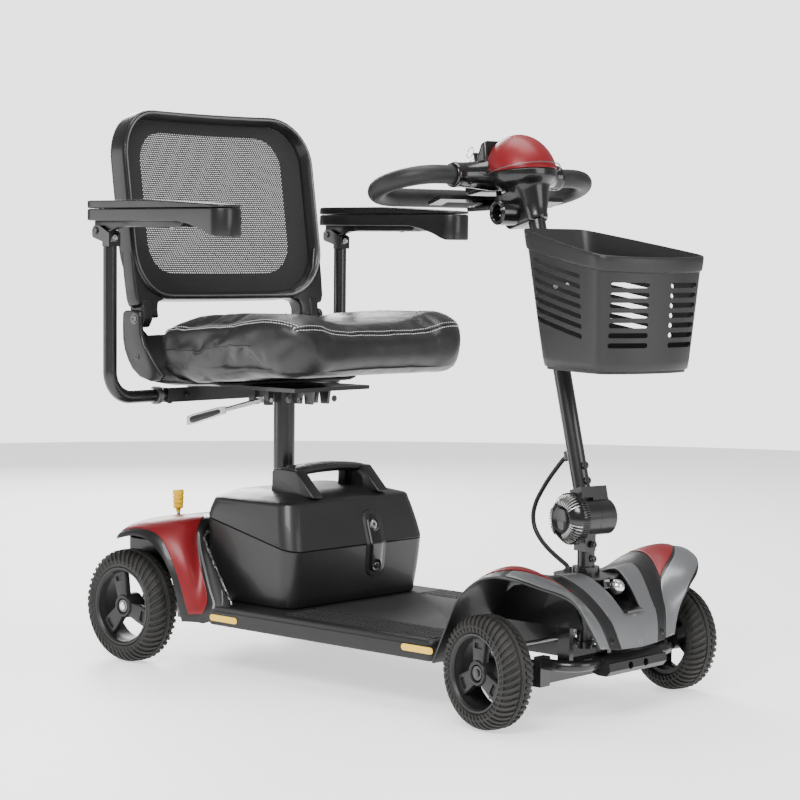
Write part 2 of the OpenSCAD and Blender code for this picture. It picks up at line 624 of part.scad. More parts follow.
module back_mesh() color("#4a4c4e") difference() {
    back_plane() translate([0, 0, -4]) linear_extrude(height = 3)
        polygon(loop_pts(back_half - 16, 12, (back_top - 640) / cos(back_lean) - 20, 62, 6));
    placed() for (s = [-1, 1]) back_lug(s);
}

// ---- Arms ----
module arm_post(side) color("#171716") placed() sided(side) difference() {
    union() {
        translate([slide_x, -arm_y, 515]) cylinder(r = arm_tube_r, h = 222);
        translate([slide_x, -arm_y + 45, 515]) rotate([90, 0, 90]) rotate([0, 0, 180])
            rotate_extrude(angle = 90) translate([45, 0]) circle(r = arm_tube_r);
        translate([slide_x, 0, slide_z]) along_y(arm_tube_r, -arm_y + 45, -182);
        translate([slide_x, 0, slide_z]) along_y(arm_slide_r, -182, -70);
        // Bracket for the armrest's hinge
        for (e = [-1, 1]) side_view([[-443, 752], [-440, 748], [-398, 736], [-398, 756], [-424, 769], [-438, 769], [-443, 762]],
            -arm_y + e * 10.5 - 2.5, -arm_y + e * 10.5 + 2.5);
        block(-416, -398, -arm_y - 13, -arm_y + 13, 733, 741);
        translate([arm_pivot[0], 0, arm_pivot[1]]) along_y(4, -arm_y - 16, -arm_y + 16);
    }
}
module arm_post_right() arm_post(-1);
module arm_post_left() arm_post(1);
module armrest(side) color("#1e1e1e") placed() sided(side) {
    intersection() {
        side_view([[-457, 790], [-455, 812], [-275, 812], [-100, 803], [-93, 797], [-97, 752], [-117, 750],
            [-150, 764], [-207, 777], [-457, 777]], -arm_y - 31, -arm_y + 31);
        translate([0, -arm_y, 700]) linear_extrude(height = 200) polygon(soft_rect(-457, -93, 31, 14));
    }
    difference() {
        union() {
            side_view([[-443, 762], [-438, 754], [-428, 754], [-380, 766], [-207, 766], [-200, 777], [-443, 777]],
                -arm_y - 7.5, -arm_y + 7.5);
        }
        translate([arm_pivot[0], 0, arm_pivot[1]]) along_y(4 + run, -arm_y - 20, -arm_y + 20);
    }
}
module armrest_right() armrest(-1);
module armrest_left() armrest(1);

module freewheel_lever() color("#f2c500") placed() translate([-386, -150, 0]) {
    translate([0, 0, 222]) along_y(4, -12.4, 12.4);
    translate([0, 0, 222]) along_y(7, -8, 8);
    translate([0, 0, 222]) cylinder(r = 4, h = 50);
    translate([0, 0, 268]) cylinder(r1 = 9, r2 = 10, h = 34);
}

main_frame();
floor_pan();
foot_mat();
reflectors();
nose_cover();
nose_panel();
front_fender_right();
front_fender_left();
front_insert_right();
front_insert_left();
bumper_tube();
bumper_cover();
rear_shroud();
rear_panel_right();
rear_panel_left();
transaxle();
drive_motor();
head_collar();
lock_knob();
steering_stem();
knuckle_right();
knuckle_left();
tie_rod_right();
tie_rod_left();
front_tire_right();
front_rim_right();
front_tire_left();
front_rim_left();
rear_tire_right();
rear_rim_right();
rear_tire_left();
rear_rim_left();
tiller_tube();
tilt_knob();
tiller_cable();
hand_loop();
control_head();
head_cover();
throttle_lever();
ignition_key();
speed_dial();
horn_button();
basket_bracket();
basket();
battery_tub();
battery_lid();
battery_handle();
seat_post();
seat_base();
swivel_lever();
seat_shell();
seat_cushion();
back_frame();
back_mesh();
arm_post_right();
arm_post_left();
armrest_right();
armrest_left();
freewheel_lever();
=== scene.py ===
import bmesh
import bpy
import json
import math
from mathutils import Matrix, Vector, noise
from mathutils.bvhtree import BVHTree


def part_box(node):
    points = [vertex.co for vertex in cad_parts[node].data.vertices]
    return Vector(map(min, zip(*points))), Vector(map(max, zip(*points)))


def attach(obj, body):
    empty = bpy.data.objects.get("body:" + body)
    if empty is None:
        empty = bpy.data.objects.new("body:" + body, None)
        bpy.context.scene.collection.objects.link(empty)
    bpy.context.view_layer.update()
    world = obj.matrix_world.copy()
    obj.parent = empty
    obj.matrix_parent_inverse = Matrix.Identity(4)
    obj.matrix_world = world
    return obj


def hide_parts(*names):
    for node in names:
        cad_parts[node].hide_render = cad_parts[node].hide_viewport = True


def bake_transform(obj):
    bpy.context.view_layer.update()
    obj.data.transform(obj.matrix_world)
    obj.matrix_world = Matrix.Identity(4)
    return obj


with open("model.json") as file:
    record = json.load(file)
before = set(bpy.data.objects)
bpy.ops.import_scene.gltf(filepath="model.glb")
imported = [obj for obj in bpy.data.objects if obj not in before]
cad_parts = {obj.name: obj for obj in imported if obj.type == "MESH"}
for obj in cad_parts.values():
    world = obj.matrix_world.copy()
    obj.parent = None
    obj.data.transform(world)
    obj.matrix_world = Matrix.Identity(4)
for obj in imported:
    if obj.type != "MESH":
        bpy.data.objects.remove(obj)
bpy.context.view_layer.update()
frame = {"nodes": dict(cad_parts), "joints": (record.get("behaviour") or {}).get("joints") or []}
print("stage: frame loaded")

# places
mm = 0.001
fineMerge = 0.00001    # metres, for shapes with close points
bothSides = (("right", -1), ("left", 1))
joints = {j["name"]: j for j in frame["joints"]}
steerAxis = Vector(joints["steer"]["pos_m"])
rearLow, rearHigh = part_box("rear_tire_right")
midX = (steerAxis.x + (rearLow[0] + rearHigh[0]) / 2) / 2      # halfway between the axles
tiltAxis = Vector(joints["tiller_tilt"]["axis"])               # points to the rider's left
tiltPoint = Vector(joints["tiller_tilt"]["pos_m"])
tubeUp = Vector(joints["key_turn"]["axis"])                    # up the tiller tube
tubeAhead = tiltAxis.cross(tubeUp)
wheelAhead = Vector((tiltAxis.y, -tiltAxis.x, 0))


def at(x, y, z):
    # millimetres from halfway between the axles, on the ground
    return Vector((midX + x * mm, y * mm, z * mm))


def atSteered(ahead, left, z):
    p = wheelAhead * ahead * mm + tiltAxis * left * mm
    return Vector((steerAxis.x + p.x, p.y, z * mm))


def atTiller(ahead, left, up):
    return Vector((tiltPoint.x, 0, tiltPoint.z)) + (tubeAhead * ahead + tiltAxis * left + tubeUp * up) * mm


# camera and light
cameraSet = dict(azimuth=42.16, elevation=4.14, roll=0.55, distance=3.86967, aimHeight=0.45032,
                 lens=101.50, shiftX=0.00534, shiftY=0.01778)


def placeCamera(c):
    az, el, roll = (math.radians(c[k]) for k in ("azimuth", "elevation", "roll"))
    back = Vector((math.sin(az) * math.cos(el), -math.cos(az) * math.cos(el), math.sin(el)))
    right = Vector((math.cos(az), math.sin(az), 0))
    up = back.cross(right)
    rightRolled = right * math.cos(roll) + up * math.sin(roll)
    upRolled = up * math.cos(roll) - right * math.sin(roll)
    data = bpy.data.cameras.new("camera")
    data.lens, data.sensor_width = c["lens"], 36
    data.shift_x, data.shift_y = c["shiftX"], c["shiftY"]
    data.clip_end = 50
    obj = bpy.data.objects.new("camera", data)
    turn = Matrix((rightRolled, upRolled, back)).transposed().to_4x4()
    obj.matrix_world = Matrix.Translation(at(0, 0, c["aimHeight"] / mm) + back * c["distance"]) @ turn
    bpy.context.scene.collection.objects.link(obj)
    bpy.context.scene.camera = obj


def areaLight(name, place, aim, size, power):
    data = bpy.data.lights.new(name, "AREA")
    data.shape, data.size, data.size_y, data.energy = "RECTANGLE", size[0], size[1], power
    obj = bpy.data.objects.new(name, data)
    place = Vector(place)
    obj.matrix_world = Matrix.Translation(place) @ (place - Vector(aim)).to_track_quat("Z",
            "Y").to_matrix().to_4x4()
    bpy.context.scene.collection.objects.link(obj)


placeCamera(cameraSet)
areaLight("keyLight", (1.6, -2.6, 2.7), (0, 0, 0.4), (1.8, 1.2), 150)
areaLight("topLight", (0.0, 0.3, 3.2), (0, 0, 0.3), (2.4, 1.6), 85)
areaLight("rimLight", (-2.6, 1.6, 1.9), (0, 0, 0.5), (1.2, 2.2), 110)
areaLight("frontFill", (3.2, 0.6, 1.2), (0.2, 0, 0.4), (1.6, 1.6), 38)
areaLight("leftFill", (-2.6, -2.2, 0.9), (-0.2, 0, 0.4), (1.6, 1.6), 26)


# shader maths
class Wire:
    # one output socket, or a number, that the usual operators work on
    def __init__(self, tree, socket):
        self.tree, self.socket = tree, socket

    def maths(self, operation, other=None, flip=False, clamp=False):
        n = self.tree.nodes.new("ShaderNodeMath")
        n.operation, n.use_clamp = operation, clamp
        pair = [self, other] if not flip else [other, self]
        for slot, v in zip(n.inputs, pair):
            if isinstance(v, Wire):
                self.tree.links.new(v.socket, slot)
            elif v is not None:
                slot.default_value = v
        return Wire(self.tree, n.outputs[0])

    def __add__(self, other):
        return self.maths("ADD", other)

    def __radd__(self, other):
        return self.maths("ADD", other, True)

    def __sub__(self, other):
        return self.maths("SUBTRACT", other)

    def __rsub__(self, other):
        return self.maths("SUBTRACT", other, True)

    def __mul__(self, other):
        return self.maths("MULTIPLY", other)

    def __rmul__(self, other):
        return self.maths("MULTIPLY", other, True)

    def __truediv__(self, other):
        return self.maths("DIVIDE", other)

    def __pow__(self, other):
        return self.maths("POWER", other)

    def __gt__(self, other):
        return self.maths("GREATER_THAN", other)

    def __lt__(self, other):
        return self.maths("LESS_THAN", other)

    def __abs__(self):
        return self.maths("ABSOLUTE")

    def clamp(self):
        return self.maths("ADD", 0.0, clamp=True)

    def sine(self):
        return self.maths("SINE")


class Finish:
    # one material: makes nodes, and sets the shader's own sockets
    def __init__(self, name, **constants):
        self.material = bpy.data.materials.new(name)
        self.material.use_nodes = True
        self.tree = self.material.node_tree
        self.shader = self.tree.nodes["Principled BSDF"]
        self.place = self.node("ShaderNodeTexCoord").outputs["Object"]
        for key, value in constants.items():
            self.shader.inputs[key.replace("_", " ")].default_value = value

    def node(self, kind, settings=(), **sockets):
        n = self.tree.nodes.new(kind)
        for key, value in dict(settings).items():
            if key == "stops":
                ramp = n.color_ramp
                while len(ramp.elements) < len(value):
                    ramp.elements.new(0.5)
                for e, (spot, tone) in zip(ramp.elements, value):
                    e.position, e.color = spot, tone
            else:
                setattr(n, key, value)
        for key, value in sockets.items():
            numbered = key[0] == "i" and key[1:].isdigit()
            slot = n.inputs[int(key[1:]) if numbered else key.replace("_", " ")]
            if isinstance(value, Wire):
                self.tree.links.new(value.socket, slot)
            elif isinstance(value, bpy.types.NodeSocket):
                self.tree.links.new(value, slot)
            else:
                slot.default_value = value
        return n

    def grain(self, scale, detail=2.0, rough=0.5):
        n = self.node("ShaderNodeTexNoise", Scale=scale, Detail=detail, Roughness=rough, Vector=self.place)
        return Wire(self.tree, n.outputs["Fac"])

    def cells(self, scale, feature="F1"):
        n = self.node("ShaderNodeTexVoronoi", dict(feature=feature), Scale=scale, Randomness=1.0,
                      Vector=self.place)
        return Wire(self.tree, n.outputs["Distance"])

    def axes(self, where=None):
        n = self.node("ShaderNodeSeparateXYZ", Vector=where or self.place)
        return [Wire(self.tree, s) for s in n.outputs]

    def blendColor(self, factor, dark, light):
        n = self.node("ShaderNodeMix", dict(data_type="RGBA"), i0=factor, i6=dark, i7=light)
        return n.outputs[2]

    def feed(self, socket, value):
        self.tree.links.new(value.socket if isinstance(value, Wire) else value, self.shader.inputs[socket])
        return self

    def bump(self, height, strength=0.3, distance=0.001):
        n = self.node("ShaderNodeBump", Strength=strength, Distance=distance, Height=height)
        self.tree.links.new(n.outputs[0], self.shader.inputs["Normal"])
        return self


world = bpy.data.worlds.new("world")
bpy.context.scene.world = world
world.use_nodes = True
world.node_tree.nodes["Background"].inputs[0].default_value = (1.0, 1.0, 1.0, 1)
worldSet = dict(fill=0.42, backdrop=2.3)      # the light it gives, and how much brighter the backdrop looks
seen = Wire(world.node_tree, world.node_tree.nodes.new("ShaderNodeLightPath").outputs["Is Camera Ray"])
backing = seen * worldSet["backdrop"] + worldSet["fill"]
world.node_tree.links.new(backing.socket, world.node_tree.nodes["Background"].inputs[1])


def tone(r, g=None, b=None):
    return (r, r if g is None else g, r if b is None else b, 1)


def plasticFinish(name, dark, light, rough=0.42, grainScale=900, strength=0.12, coat=0.0):
    f = Finish(name, Coat_Weight=coat, Specular_IOR_Level=0.36)
    broad = f.grain(9, 3)
    fine = f.grain(grainScale, 2)
    f.feed("Base Color", f.blendColor(broad, dark, light))
    f.feed("Roughness", (broad * 0.16 + fine * 0.10 + (rough - 0.13)).clamp())
    f.bump(fine, strength, 0.0004)
    return f.material


def paintFinish(name, dark, light, metal=0.55, rough=0.34, flake=2600, coat=0.4):
    f = Finish(name, Coat_Weight=coat, Coat_Roughness=0.22, Specular_IOR_Level=0.3)
    flakes = f.cells(flake)
    broad = f.grain(6, 2)
    f.feed("Base Color", f.blendColor((flakes * 0.7 + broad * 0.3).clamp(), dark, light))
    f.feed("Metallic", (flakes * 0.25 + (metal - 0.12)).clamp())
    f.feed("Roughness", (broad * 0.14 + (rough - 0.07)).clamp())
    f.bump(flakes, 0.06, 0.0003)
    return f.material


def powderFinish(name, color, rough):
    f = Finish(name, Coat_Weight=0.3, Coat_Roughness=0.12, Specular_IOR_Level=0.4)
    peel = f.grain(420, 3)
    scuff = f.grain(26, 5, 0.7)
    worn = ((scuff - 0.62) * 6).clamp()
    f.feed("Base Color", f.blendColor(worn, tone(color), tone(color * 2.6)))
    f.feed("Roughness", (peel * 0.12 + worn * 0.2 + (rough - 0.06)).clamp())
    f.bump(peel, 0.10, 0.0005)
    return f.material


def metalFinish(name, dark, light, rough=0.28, scratch=60):
    f = Finish(name)
    brushed = f.grain(scratch, 6, 0.7)
    spots = f.grain(14, 3)
    f.feed("Base Color", f.blendColor(brushed, dark, light))
    f.feed("Metallic", (spots * 0.1 + 0.9).clamp())
    f.feed("Roughness", (brushed * 0.2 + spots * 0.15 + (rough - 0.15)).clamp())
    f.bump(brushed, 0.12, 0.0003)
    return f.material


def rubberFinish(name, dark, light, rough=0.62, pores=700):
    f = Finish(name, Specular_IOR_Level=0.35)
    dust = f.grain(18, 5, 0.65)
    fine = f.grain(pores, 2)
    f.feed("Base Color", f.blendColor(((dust - 0.35) * 2.2).clamp(), dark, light))
    f.feed("Roughness", (dust * 0.2 + (rough - 0.1)).clamp())
    f.bump(fine + dust * 0.6, 0.22, 0.0006)
    return f.material


def vinylFinish(name, dark, light, rough=0.36):
    f = Finish(name, Coat_Weight=0.06, Coat_Roughness=0.3, Specular_IOR_Level=0.42)
    pebbles = f.cells(620, "SMOOTH_F1")
    creases = f.grain(34, 5, 0.6)
    f.feed("Base Color", f.blendColor((creases * 0.7 + pebbles * 0.4).clamp(), dark, light))
    f.feed("Roughness", (creases * 0.2 + pebbles * 0.12 + (rough - 0.12)).clamp())
    f.bump(pebbles * 0.5 + creases * 0.6, 0.25, 0.0008)
    return f.material


def meshFinish(name, dark, light, pitch, hole, seeThrough):
    # an open knit: round holes in staggered rows on the piece's own u and v, in metres
    f = Finish(name, Specular_IOR_Level=0.3)
    uv = f.node("ShaderNodeUVMap", dict(uv_map="weave")).outputs[0]
    u, v = f.axes(uv)[:2]
    row = v / (pitch * 0.82)
    shift = row.maths("FLOOR").maths("MODULO", 2.0) * 0.5
    across = (u / pitch + shift).maths("FRACT") - 0.5
    along = row.maths("FRACT") - 0.5
    reach = (across * across + along * along * 0.72).maths("SQRT")
    yarn = ((reach - hole) * 9 + 0.5).clamp()
    tint = f.grain(40, 3)
    f.feed("Base Color", f.blendColor((yarn * 0.6 + tint * 0.4).clamp(), dark, light))
    f.feed("Roughness", (tint * 0.2 + 0.5).clamp())
    if seeThrough:
        f.feed("Alpha", yarn)
    f.bump(yarn, 0.6, 0.0006)
    return f.material


def studFinish(name, dark, light):
    f = Finish(name)
    fine = f.grain(800, 2)
    dust = f.grain(12, 4)
    f.feed("Base Color", f.blendColor(dust, dark, light))
    f.feed("Roughness", (dust * 0.2 + fine * 0.15 + 0.4).clamp())
    f.bump(fine, 0.2, 0.0005)
    return f.material


def reflectorFinish(name):
    # painted glow: the emission makes the reflector shine a little by itself, brighter along the ribs
    f = Finish(name, Coat_Weight=0.6, Coat_Roughness=0.08, Emission_Strength=0.12)
    x, z = f.axes()[::2]
    ribs = ((x * 2600).sine() * (z * 2600).sine()).maths("ABSOLUTE")
    f.feed("Base Color", f.blendColor(ribs, tone(0.80, 0.46, 0.0), tone(1.0, 0.66, 0.0)))
    f.feed("Emission Color", f.blendColor(ribs, tone(0.9, 0.50, 0.0), tone(1.0, 0.64, 0.0)))
    f.feed("Roughness", (ribs * 0.2 + 0.2).clamp())
    f.bump(ribs, 0.4, 0.0006)
    return f.material


finishes = {
    "deckPlastic": plasticFinish("deckPlastic", tone(0.006), tone(0.014), 0.46, 700, 0.25),
    "coverBlack": plasticFinish("coverBlack", tone(0.005), tone(0.011), 0.34, 1000, 0.10, 0.15),
    "glossBlack": plasticFinish("glossBlack", tone(0.003), tone(0.008), 0.22, 1000, 0.05, 0.4),
    "headBlack": plasticFinish("headBlack", tone(0.004), tone(0.009), 0.27, 900, 0.08, 0.25),
    "batteryPlastic": plasticFinish("batteryPlastic", tone(0.010), tone(0.018), 0.40, 1100, 0.14, 0.12),
    "basketPlastic": plasticFinish("basketPlastic", tone(0.010), tone(0.017), 0.44, 900, 0.2),
    "rimPlastic": plasticFinish("rimPlastic", tone(0.008), tone(0.015), 0.42, 900, 0.16),
    "framePlastic": plasticFinish("framePlastic", tone(0.009), tone(0.016), 0.36, 900, 0.12, 0.15),
    "coverSilver": paintFinish("coverSilver", tone(0.12, 0.123, 0.128), tone(0.235, 0.24, 0.245), 0.62,
                               0.36),
    "panelRed": paintFinish("panelRed", tone(0.13, 0.0035, 0.006), tone(0.22, 0.008, 0.012), 0.12, 0.42,
                            3000, 0.16),
    "powderBlack": powderFinish("powderBlack", 0.008, 0.3),
    "castMetal": metalFinish("castMetal", tone(0.12), tone(0.22), 0.5, 200),
    "zinc": metalFinish("zinc", tone(0.42, 0.42, 0.41), tone(0.66, 0.66, 0.65), 0.34),
    "ballChrome": metalFinish("ballChrome", tone(0.58, 0.58, 0.57), tone(0.78), 0.22, 30),
    "treadRubber": rubberFinish("treadRubber", tone(0.012, 0.0117, 0.011), tone(0.032, 0.031, 0.028), 0.66),
    "gripFoam": rubberFinish("gripFoam", tone(0.008), tone(0.018), 0.52, 900),
    "cableRubber": rubberFinish("cableRubber", tone(0.006), tone(0.011), 0.45),
    "matRubber": studFinish("matRubber", tone(0.010), tone(0.020)),
    "vinyl": vinylFinish("vinyl", tone(0.007, 0.007, 0.0074), tone(0.015, 0.015, 0.0157)),
    "padVinyl": vinylFinish("padVinyl", tone(0.004), tone(0.008), 0.27),
    "thread": rubberFinish("thread", tone(0.55), tone(0.75), 0.6),
    "reflectorYellow": reflectorFinish("reflectorYellow"),
    "leverYellow": plasticFinish("leverYellow", tone(0.72, 0.40, 0.0), tone(0.92, 0.55, 0.0), 0.34, 500,
                                 0.1, 0.3),
    "meshOpen": meshFinish("meshOpen", tone(0.014, 0.0145, 0.015), tone(0.05, 0.051, 0.053), 0.0046, 0.15,
                           True),
    "meshDense": meshFinish("meshDense", tone(0.005), tone(0.022), 0.0046, 0.24, False),
}
print("stage: finishes made")

nodeFinish = dict(
    main_frame="powderBlack", floor_pan="deckPlastic", bumper_tube="powderBlack", bumper_cover="coverBlack",
    transaxle="castMetal", drive_motor="powderBlack", head_collar="zinc", lock_knob="ballChrome",
    steering_stem="powderBlack", knuckle_right="powderBlack", knuckle_left="powderBlack",
    tie_rod_right="zinc", tie_rod_left="zinc", tiller_tube="powderBlack", throttle_lever="headBlack",
    ignition_key="headBlack", speed_dial="headBlack", horn_button="leverYellow",
    basket_bracket="coverBlack",
    seat_post="powderBlack", seat_base="powderBlack", swivel_lever="zinc", arm_post_right="powderBlack",
    arm_post_left="powderBlack", reflectors="reflectorYellow")
for nodeName, finishName in nodeFinish.items():
    mesh = frame["nodes"][nodeName].data
    mesh.materials.clear()
    mesh.materials.append(finishes[finishName])


# mesh helpers
def makePiece(name, points, faces, finish, smooth=True):
    mesh = bpy.data.meshes.new(name)
    mesh.from_pydata([tuple(p) for p in points], [], faces)
    mesh.materials.append(finishes[finish])
    obj = bpy.data.objects.new(name, mesh)
    bpy.context.scene.collection.objects.link(obj)
    for p in mesh.polygons:
        p.use_smooth = smooth
    return obj


def tidyNormals(obj, merge=0.00005):
    bm = bmesh.new()
    bm.from_mesh(obj.data)
    bmesh.ops.remove_doubles(bm, verts=bm.verts, dist=merge)
    bmesh.ops.recalc_face_normals(bm, faces=bm.faces)
    bm.to_mesh(obj.data)
    bm.free()
    return obj


def bake(obj):
    # the modified shape becomes the mesh, and the modifiers go
    graph = bpy.context.evaluated_depsgraph_get()
    mesh = bpy.data.meshes.new_from_object(obj.evaluated_get(graph), preserve_all_data_layers=True,
                                           depsgraph=graph)
    obj.modifiers.clear()
    old = obj.data
    obj.data = mesh
    bpy.data.meshes.remove(old)
    return obj


def soften(obj, width=1.2, segments=2, angle=35):
    b = obj.modifiers.new("edge", "BEVEL")
    b.width, b.segments = width * mm, segments
    b.limit_method, b.angle_limit = "ANGLE", math.radians(angle)
    b.harden_normals = False
    return bake(obj)


def subdivide(obj, levels=2):
    s = obj.modifiers.new("round", "SUBSURF")
    s.levels = s.render_levels = levels
    return bake(obj)


def thicken(obj, thickness, offset=-1.0):
    s = obj.modifiers.new("wall", "SOLIDIFY")
    s.thickness, s.offset = thickness * mm, offset
    s.use_even_offset = False
    return bake(obj)


def smoothByAngle(obj, degrees=38):
    bm = bmesh.new()
    bm.from_mesh(obj.data)
    for e in bm.edges:
        e.smooth = not (len(e.link_faces) == 2 and e.calc_face_angle(0) > math.radians(degrees))
    bm.to_mesh(obj.data)
    bm.free()
    for p in obj.data.polygons:
        p.use_smooth = True
    return obj


def cut(obj, cutter, operation="DIFFERENCE"):
    b = obj.modifiers.new("cut", "BOOLEAN")
    b.operation, b.object, b.solver = operation, cutter, "EXACT"
    bake(obj)
    bpy.data.objects.remove(cutter)
    return obj


def boxPiece(name, low, high, finish, turn=None):
    # low and high are corners in metres; turn places the box
    c = [Vector((x, y, z)) for x in (low[0], high[0]) for y in (low[1], high[1]) for z in (low[2], high[2])]
    if turn:
        c = [turn(*[v / mm for v in p]) for p in c]
    faces = [(0, 1, 3, 2), (4, 6, 7, 5), (0, 4, 5, 1), (2, 3, 7, 6), (0, 2, 6, 4), (1, 5, 7, 3)]
    return tidyNormals(makePiece(name, c, faces, finish, False))


def mmBox(name, low, high, finish, turn=at):
    return boxPiece(name, [v * mm for v in low], [v * mm for v in high], finish, turn)


def loft(name, rings, finish, closed=True, caps=True, smooth=True):
    n = len(rings[0])
    points = [p for ring in rings for p in ring]
    faces = []
    for i in range(len(rings) - 1):
        for k in range(n if closed else n - 1):
            j = (k + 1) % n
            faces.append((i * n + k, i * n + j, (i + 1) * n + j, (i + 1) * n + k))
    if caps and closed:
        faces.append(tuple(range(n))[::-1])
        faces.append(tuple((len(rings) - 1) * n + k for k in range(n)))
    return tidyNormals(makePiece(name, points, faces, finish, smooth))


def smoothPath(points, steps=8):
    # Catmull-Rom through the points
    out, n = [], len(points)
    points = [Vector(p) for p in points]
    for i in range(n - 1):
        p0, p1, p2, p3 = (points[min(max(i + k, 0), n - 1)] for k in (-1, 0, 1, 2))
        for s in range(steps):
            t = s / steps
            out.append(0.5 * ((2 * p1) + (p2 - p0) * t + (2 * p0 - 5 * p1 + 4 * p2 - p3) * t * t
                              + (3 * p1 - p0 - 3 * p2 + p3) * t ** 3))
    out.append(points[-1])
    return out


def tubeRings(path, radius, sides=12, up=Vector((0, 0, 1))):
    rings, side = [], None
    for i, p in enumerate(path):
        t = (path[min(i + 1, len(path) - 1)] - path[max(i - 1, 0)]).normalized()
        first = t.cross(up if abs(t.dot(up)) < 0.9 else Vector((1, 0, 0))).normalized()
        side = (side - t * side.dot(t)).normalized() if side else first
        other = t.cross(side)
        r = radius(i / (len(path) - 1)) if callable(radius) else radius
        rings.append([p + (side * math.cos(a) + other * math.sin(a)) * r * mm
                      for a in (2 * math.pi * k / sides for k in range(sides))])
    return rings


def tube(name, path, radius, finish, sides=12, up=Vector((0, 0, 1))):
    return loft(name, tubeRings(path, radius, sides, up), finish)


def spin(name, profile, place, finish, sides=64, axis=1, closed=False):
    # profile: (radius, along) in millimetres, turned about y for axis 1 and z for 2; place(x, y, z) puts it
    n = len(profile)
    points, faces = [], []
    for k in range(sides):
        a = 2 * math.pi * k / sides
        for r, s in profile:
            v = [r * math.sin(a), r * math.cos(a)]
            points.append(place(v[0], s, v[1]) if axis == 1 else place(v[0], v[1], s))
    for k in range(sides):
        j = (k + 1) % sides
        for i in range(n if closed else n - 1):
            m = (i + 1) % n
            faces.append((k * n + i, k * n + m, j * n + m, j * n + i))
    obj = tidyNormals(makePiece(name, points, faces, finish))
    return smoothByAngle(obj, 32)


def join(name, objs):
    bm = bmesh.new()
    mats = []
    for o in objs:
        start = len(bm.faces)
        for m in o.data.materials:
            if m not in mats:
                mats.append(m)
        lookup = [mats.index(m) for m in o.data.materials]
        bm.from_mesh(o.data)
        bm.faces.ensure_lookup_table()
        for f in bm.faces[start:]:
            f.material_index = lookup[min(f.material_index, len(lookup) - 1)]
    mesh = bpy.data.meshes.new(name)
    bm.to_mesh(mesh)
    bm.free()
    for m in mats:
        mesh.materials.append(m)
    obj = bpy.data.objects.new(name, mesh)
    bpy.context.scene.collection.objects.link(obj)
    for o in objs:
        bpy.data.objects.remove(o)
    return obj


def done(obj, body, slotName, *nodes):
    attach(obj, body)
    if nodes:
        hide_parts(*nodes)
    return obj


# geometry nodes
def newTree(name, **inputs):
    tree = bpy.data.node_groups.new(name, "GeometryNodeTree")
    tree.interface.new_socket("Geometry", in_out="INPUT", socket_type="NodeSocketGeometry")
    for key, kind in inputs.items():
        tree.interface.new_socket(key, in_out="INPUT", socket_type="NodeSocket" + kind)
    tree.interface.new_socket("Finish", in_out="INPUT", socket_type="NodeSocketMaterial")
    tree.interface.new_socket("Geometry", in_out="OUTPUT", socket_type="NodeSocketGeometry")
    return tree


def endTree(tree, start, copies):
    # the copies leave the tree as real faces in their finish
    new, link = tree.nodes.new, tree.links.new
    real, paint = new("GeometryNodeRealizeInstances"), new("GeometryNodeSetMaterial")
    end = new("NodeGroupOutput")
    link(copies.outputs[0], real.inputs[0])
    link(real.outputs[0], paint.inputs["Geometry"])
    link(start.outputs["Finish"], paint.inputs["Material"])
    link(paint.outputs[0], end.inputs[0])
    return tree


def copiesTree(name, kind):
    tree = newTree(name, Count="Int", Step="Vector", Start="Vector")
    new, link = tree.nodes.new, tree.links.new
    start, points = new("NodeGroupInput"), new("GeometryNodePoints")
    link(start.outputs["Count"], points.inputs["Count"])
    index = new("GeometryNodeInputIndex")
    scale, shift = new("ShaderNodeVectorMath"), new("ShaderNodeVectorMath")
    scale.operation, shift.operation = "SCALE", "ADD"
    link(start.outputs["Step"], scale.inputs[0])
    link(index.outputs[0], scale.inputs["Scale"])
    link(scale.outputs[0], shift.inputs[0])
    link(start.outputs["Start"], shift.inputs[1])
    copies = new("GeometryNodeInstanceOnPoints")
    link(start.outputs["Geometry"], copies.inputs["Instance"])
    if kind == "turned":
        link(points.outputs[0], copies.inputs["Points"])
        link(shift.outputs[0], copies.inputs["Rotation"])
    else:
        move = new("GeometryNodeSetPosition")
        link(points.outputs[0], move.inputs["Geometry"])
        link(shift.outputs[0], move.inputs["Position"])
        link(move.outputs[0], copies.inputs["Points"])
    return endTree(tree, start, copies)


def pathTree():
    # copies along a curve, every Gap metres, turned with it
    tree = newTree("alongPath", Gap="Float", Length="Float", Thickness="Float")
    new, link = tree.nodes.new, tree.links.new
    start = new("NodeGroupInput")
    curve, spaced = new("GeometryNodeMeshToCurve"), new("GeometryNodeCurveToPoints")
    spaced.mode = "LENGTH"
    link(start.outputs["Geometry"], curve.inputs[0])
    link(curve.outputs[0], spaced.inputs["Curve"])
    link(start.outputs["Gap"], spaced.inputs["Length"])
    stitch = new("GeometryNodeMeshIcoSphere")
    stitch.inputs["Subdivisions"].default_value = 2
    size = new("ShaderNodeCombineXYZ")
    link(start.outputs["Thickness"], size.inputs[0])
    link(start.outputs["Thickness"], size.inputs[1])
    link(start.outputs["Length"], size.inputs[2])
    copies = new("GeometryNodeInstanceOnPoints")
    link(spaced.outputs["Points"], copies.inputs["Points"])
    link(stitch.outputs[0], copies.inputs["Instance"])
    link(spaced.outputs["Rotation"], copies.inputs["Rotation"])
    link(size.outputs[0], copies.inputs["Scale"])
    return endTree(tree, start, copies)


trees = {"turned": copiesTree("turnedCopies", "turned"), "moved": copiesTree("movedCopies", "moved"),
         "path": pathTree()}


def growTree(obj, kind, finish, **values):
    modifier = obj.modifiers.new("copies", "NODES")
    modifier.node_group = trees[kind]
    for item in trees[kind].interface.items_tree:
        if item.in_out == "INPUT" and item.name in values:
            modifier[item.identifier] = values[item.name]
        if item.in_out == "INPUT" and item.name == "Finish":
            modifier[item.identifier] = finishes[finish]
    return bake(obj)


def copyRound(obj, count, finish, start=0.0):
    # copies all the way round the y axis
    return growTree(obj, "turned", finish, Count=count, Step=[0, 2 * math.pi / count, 0],
                    Start=[0, start, 0])


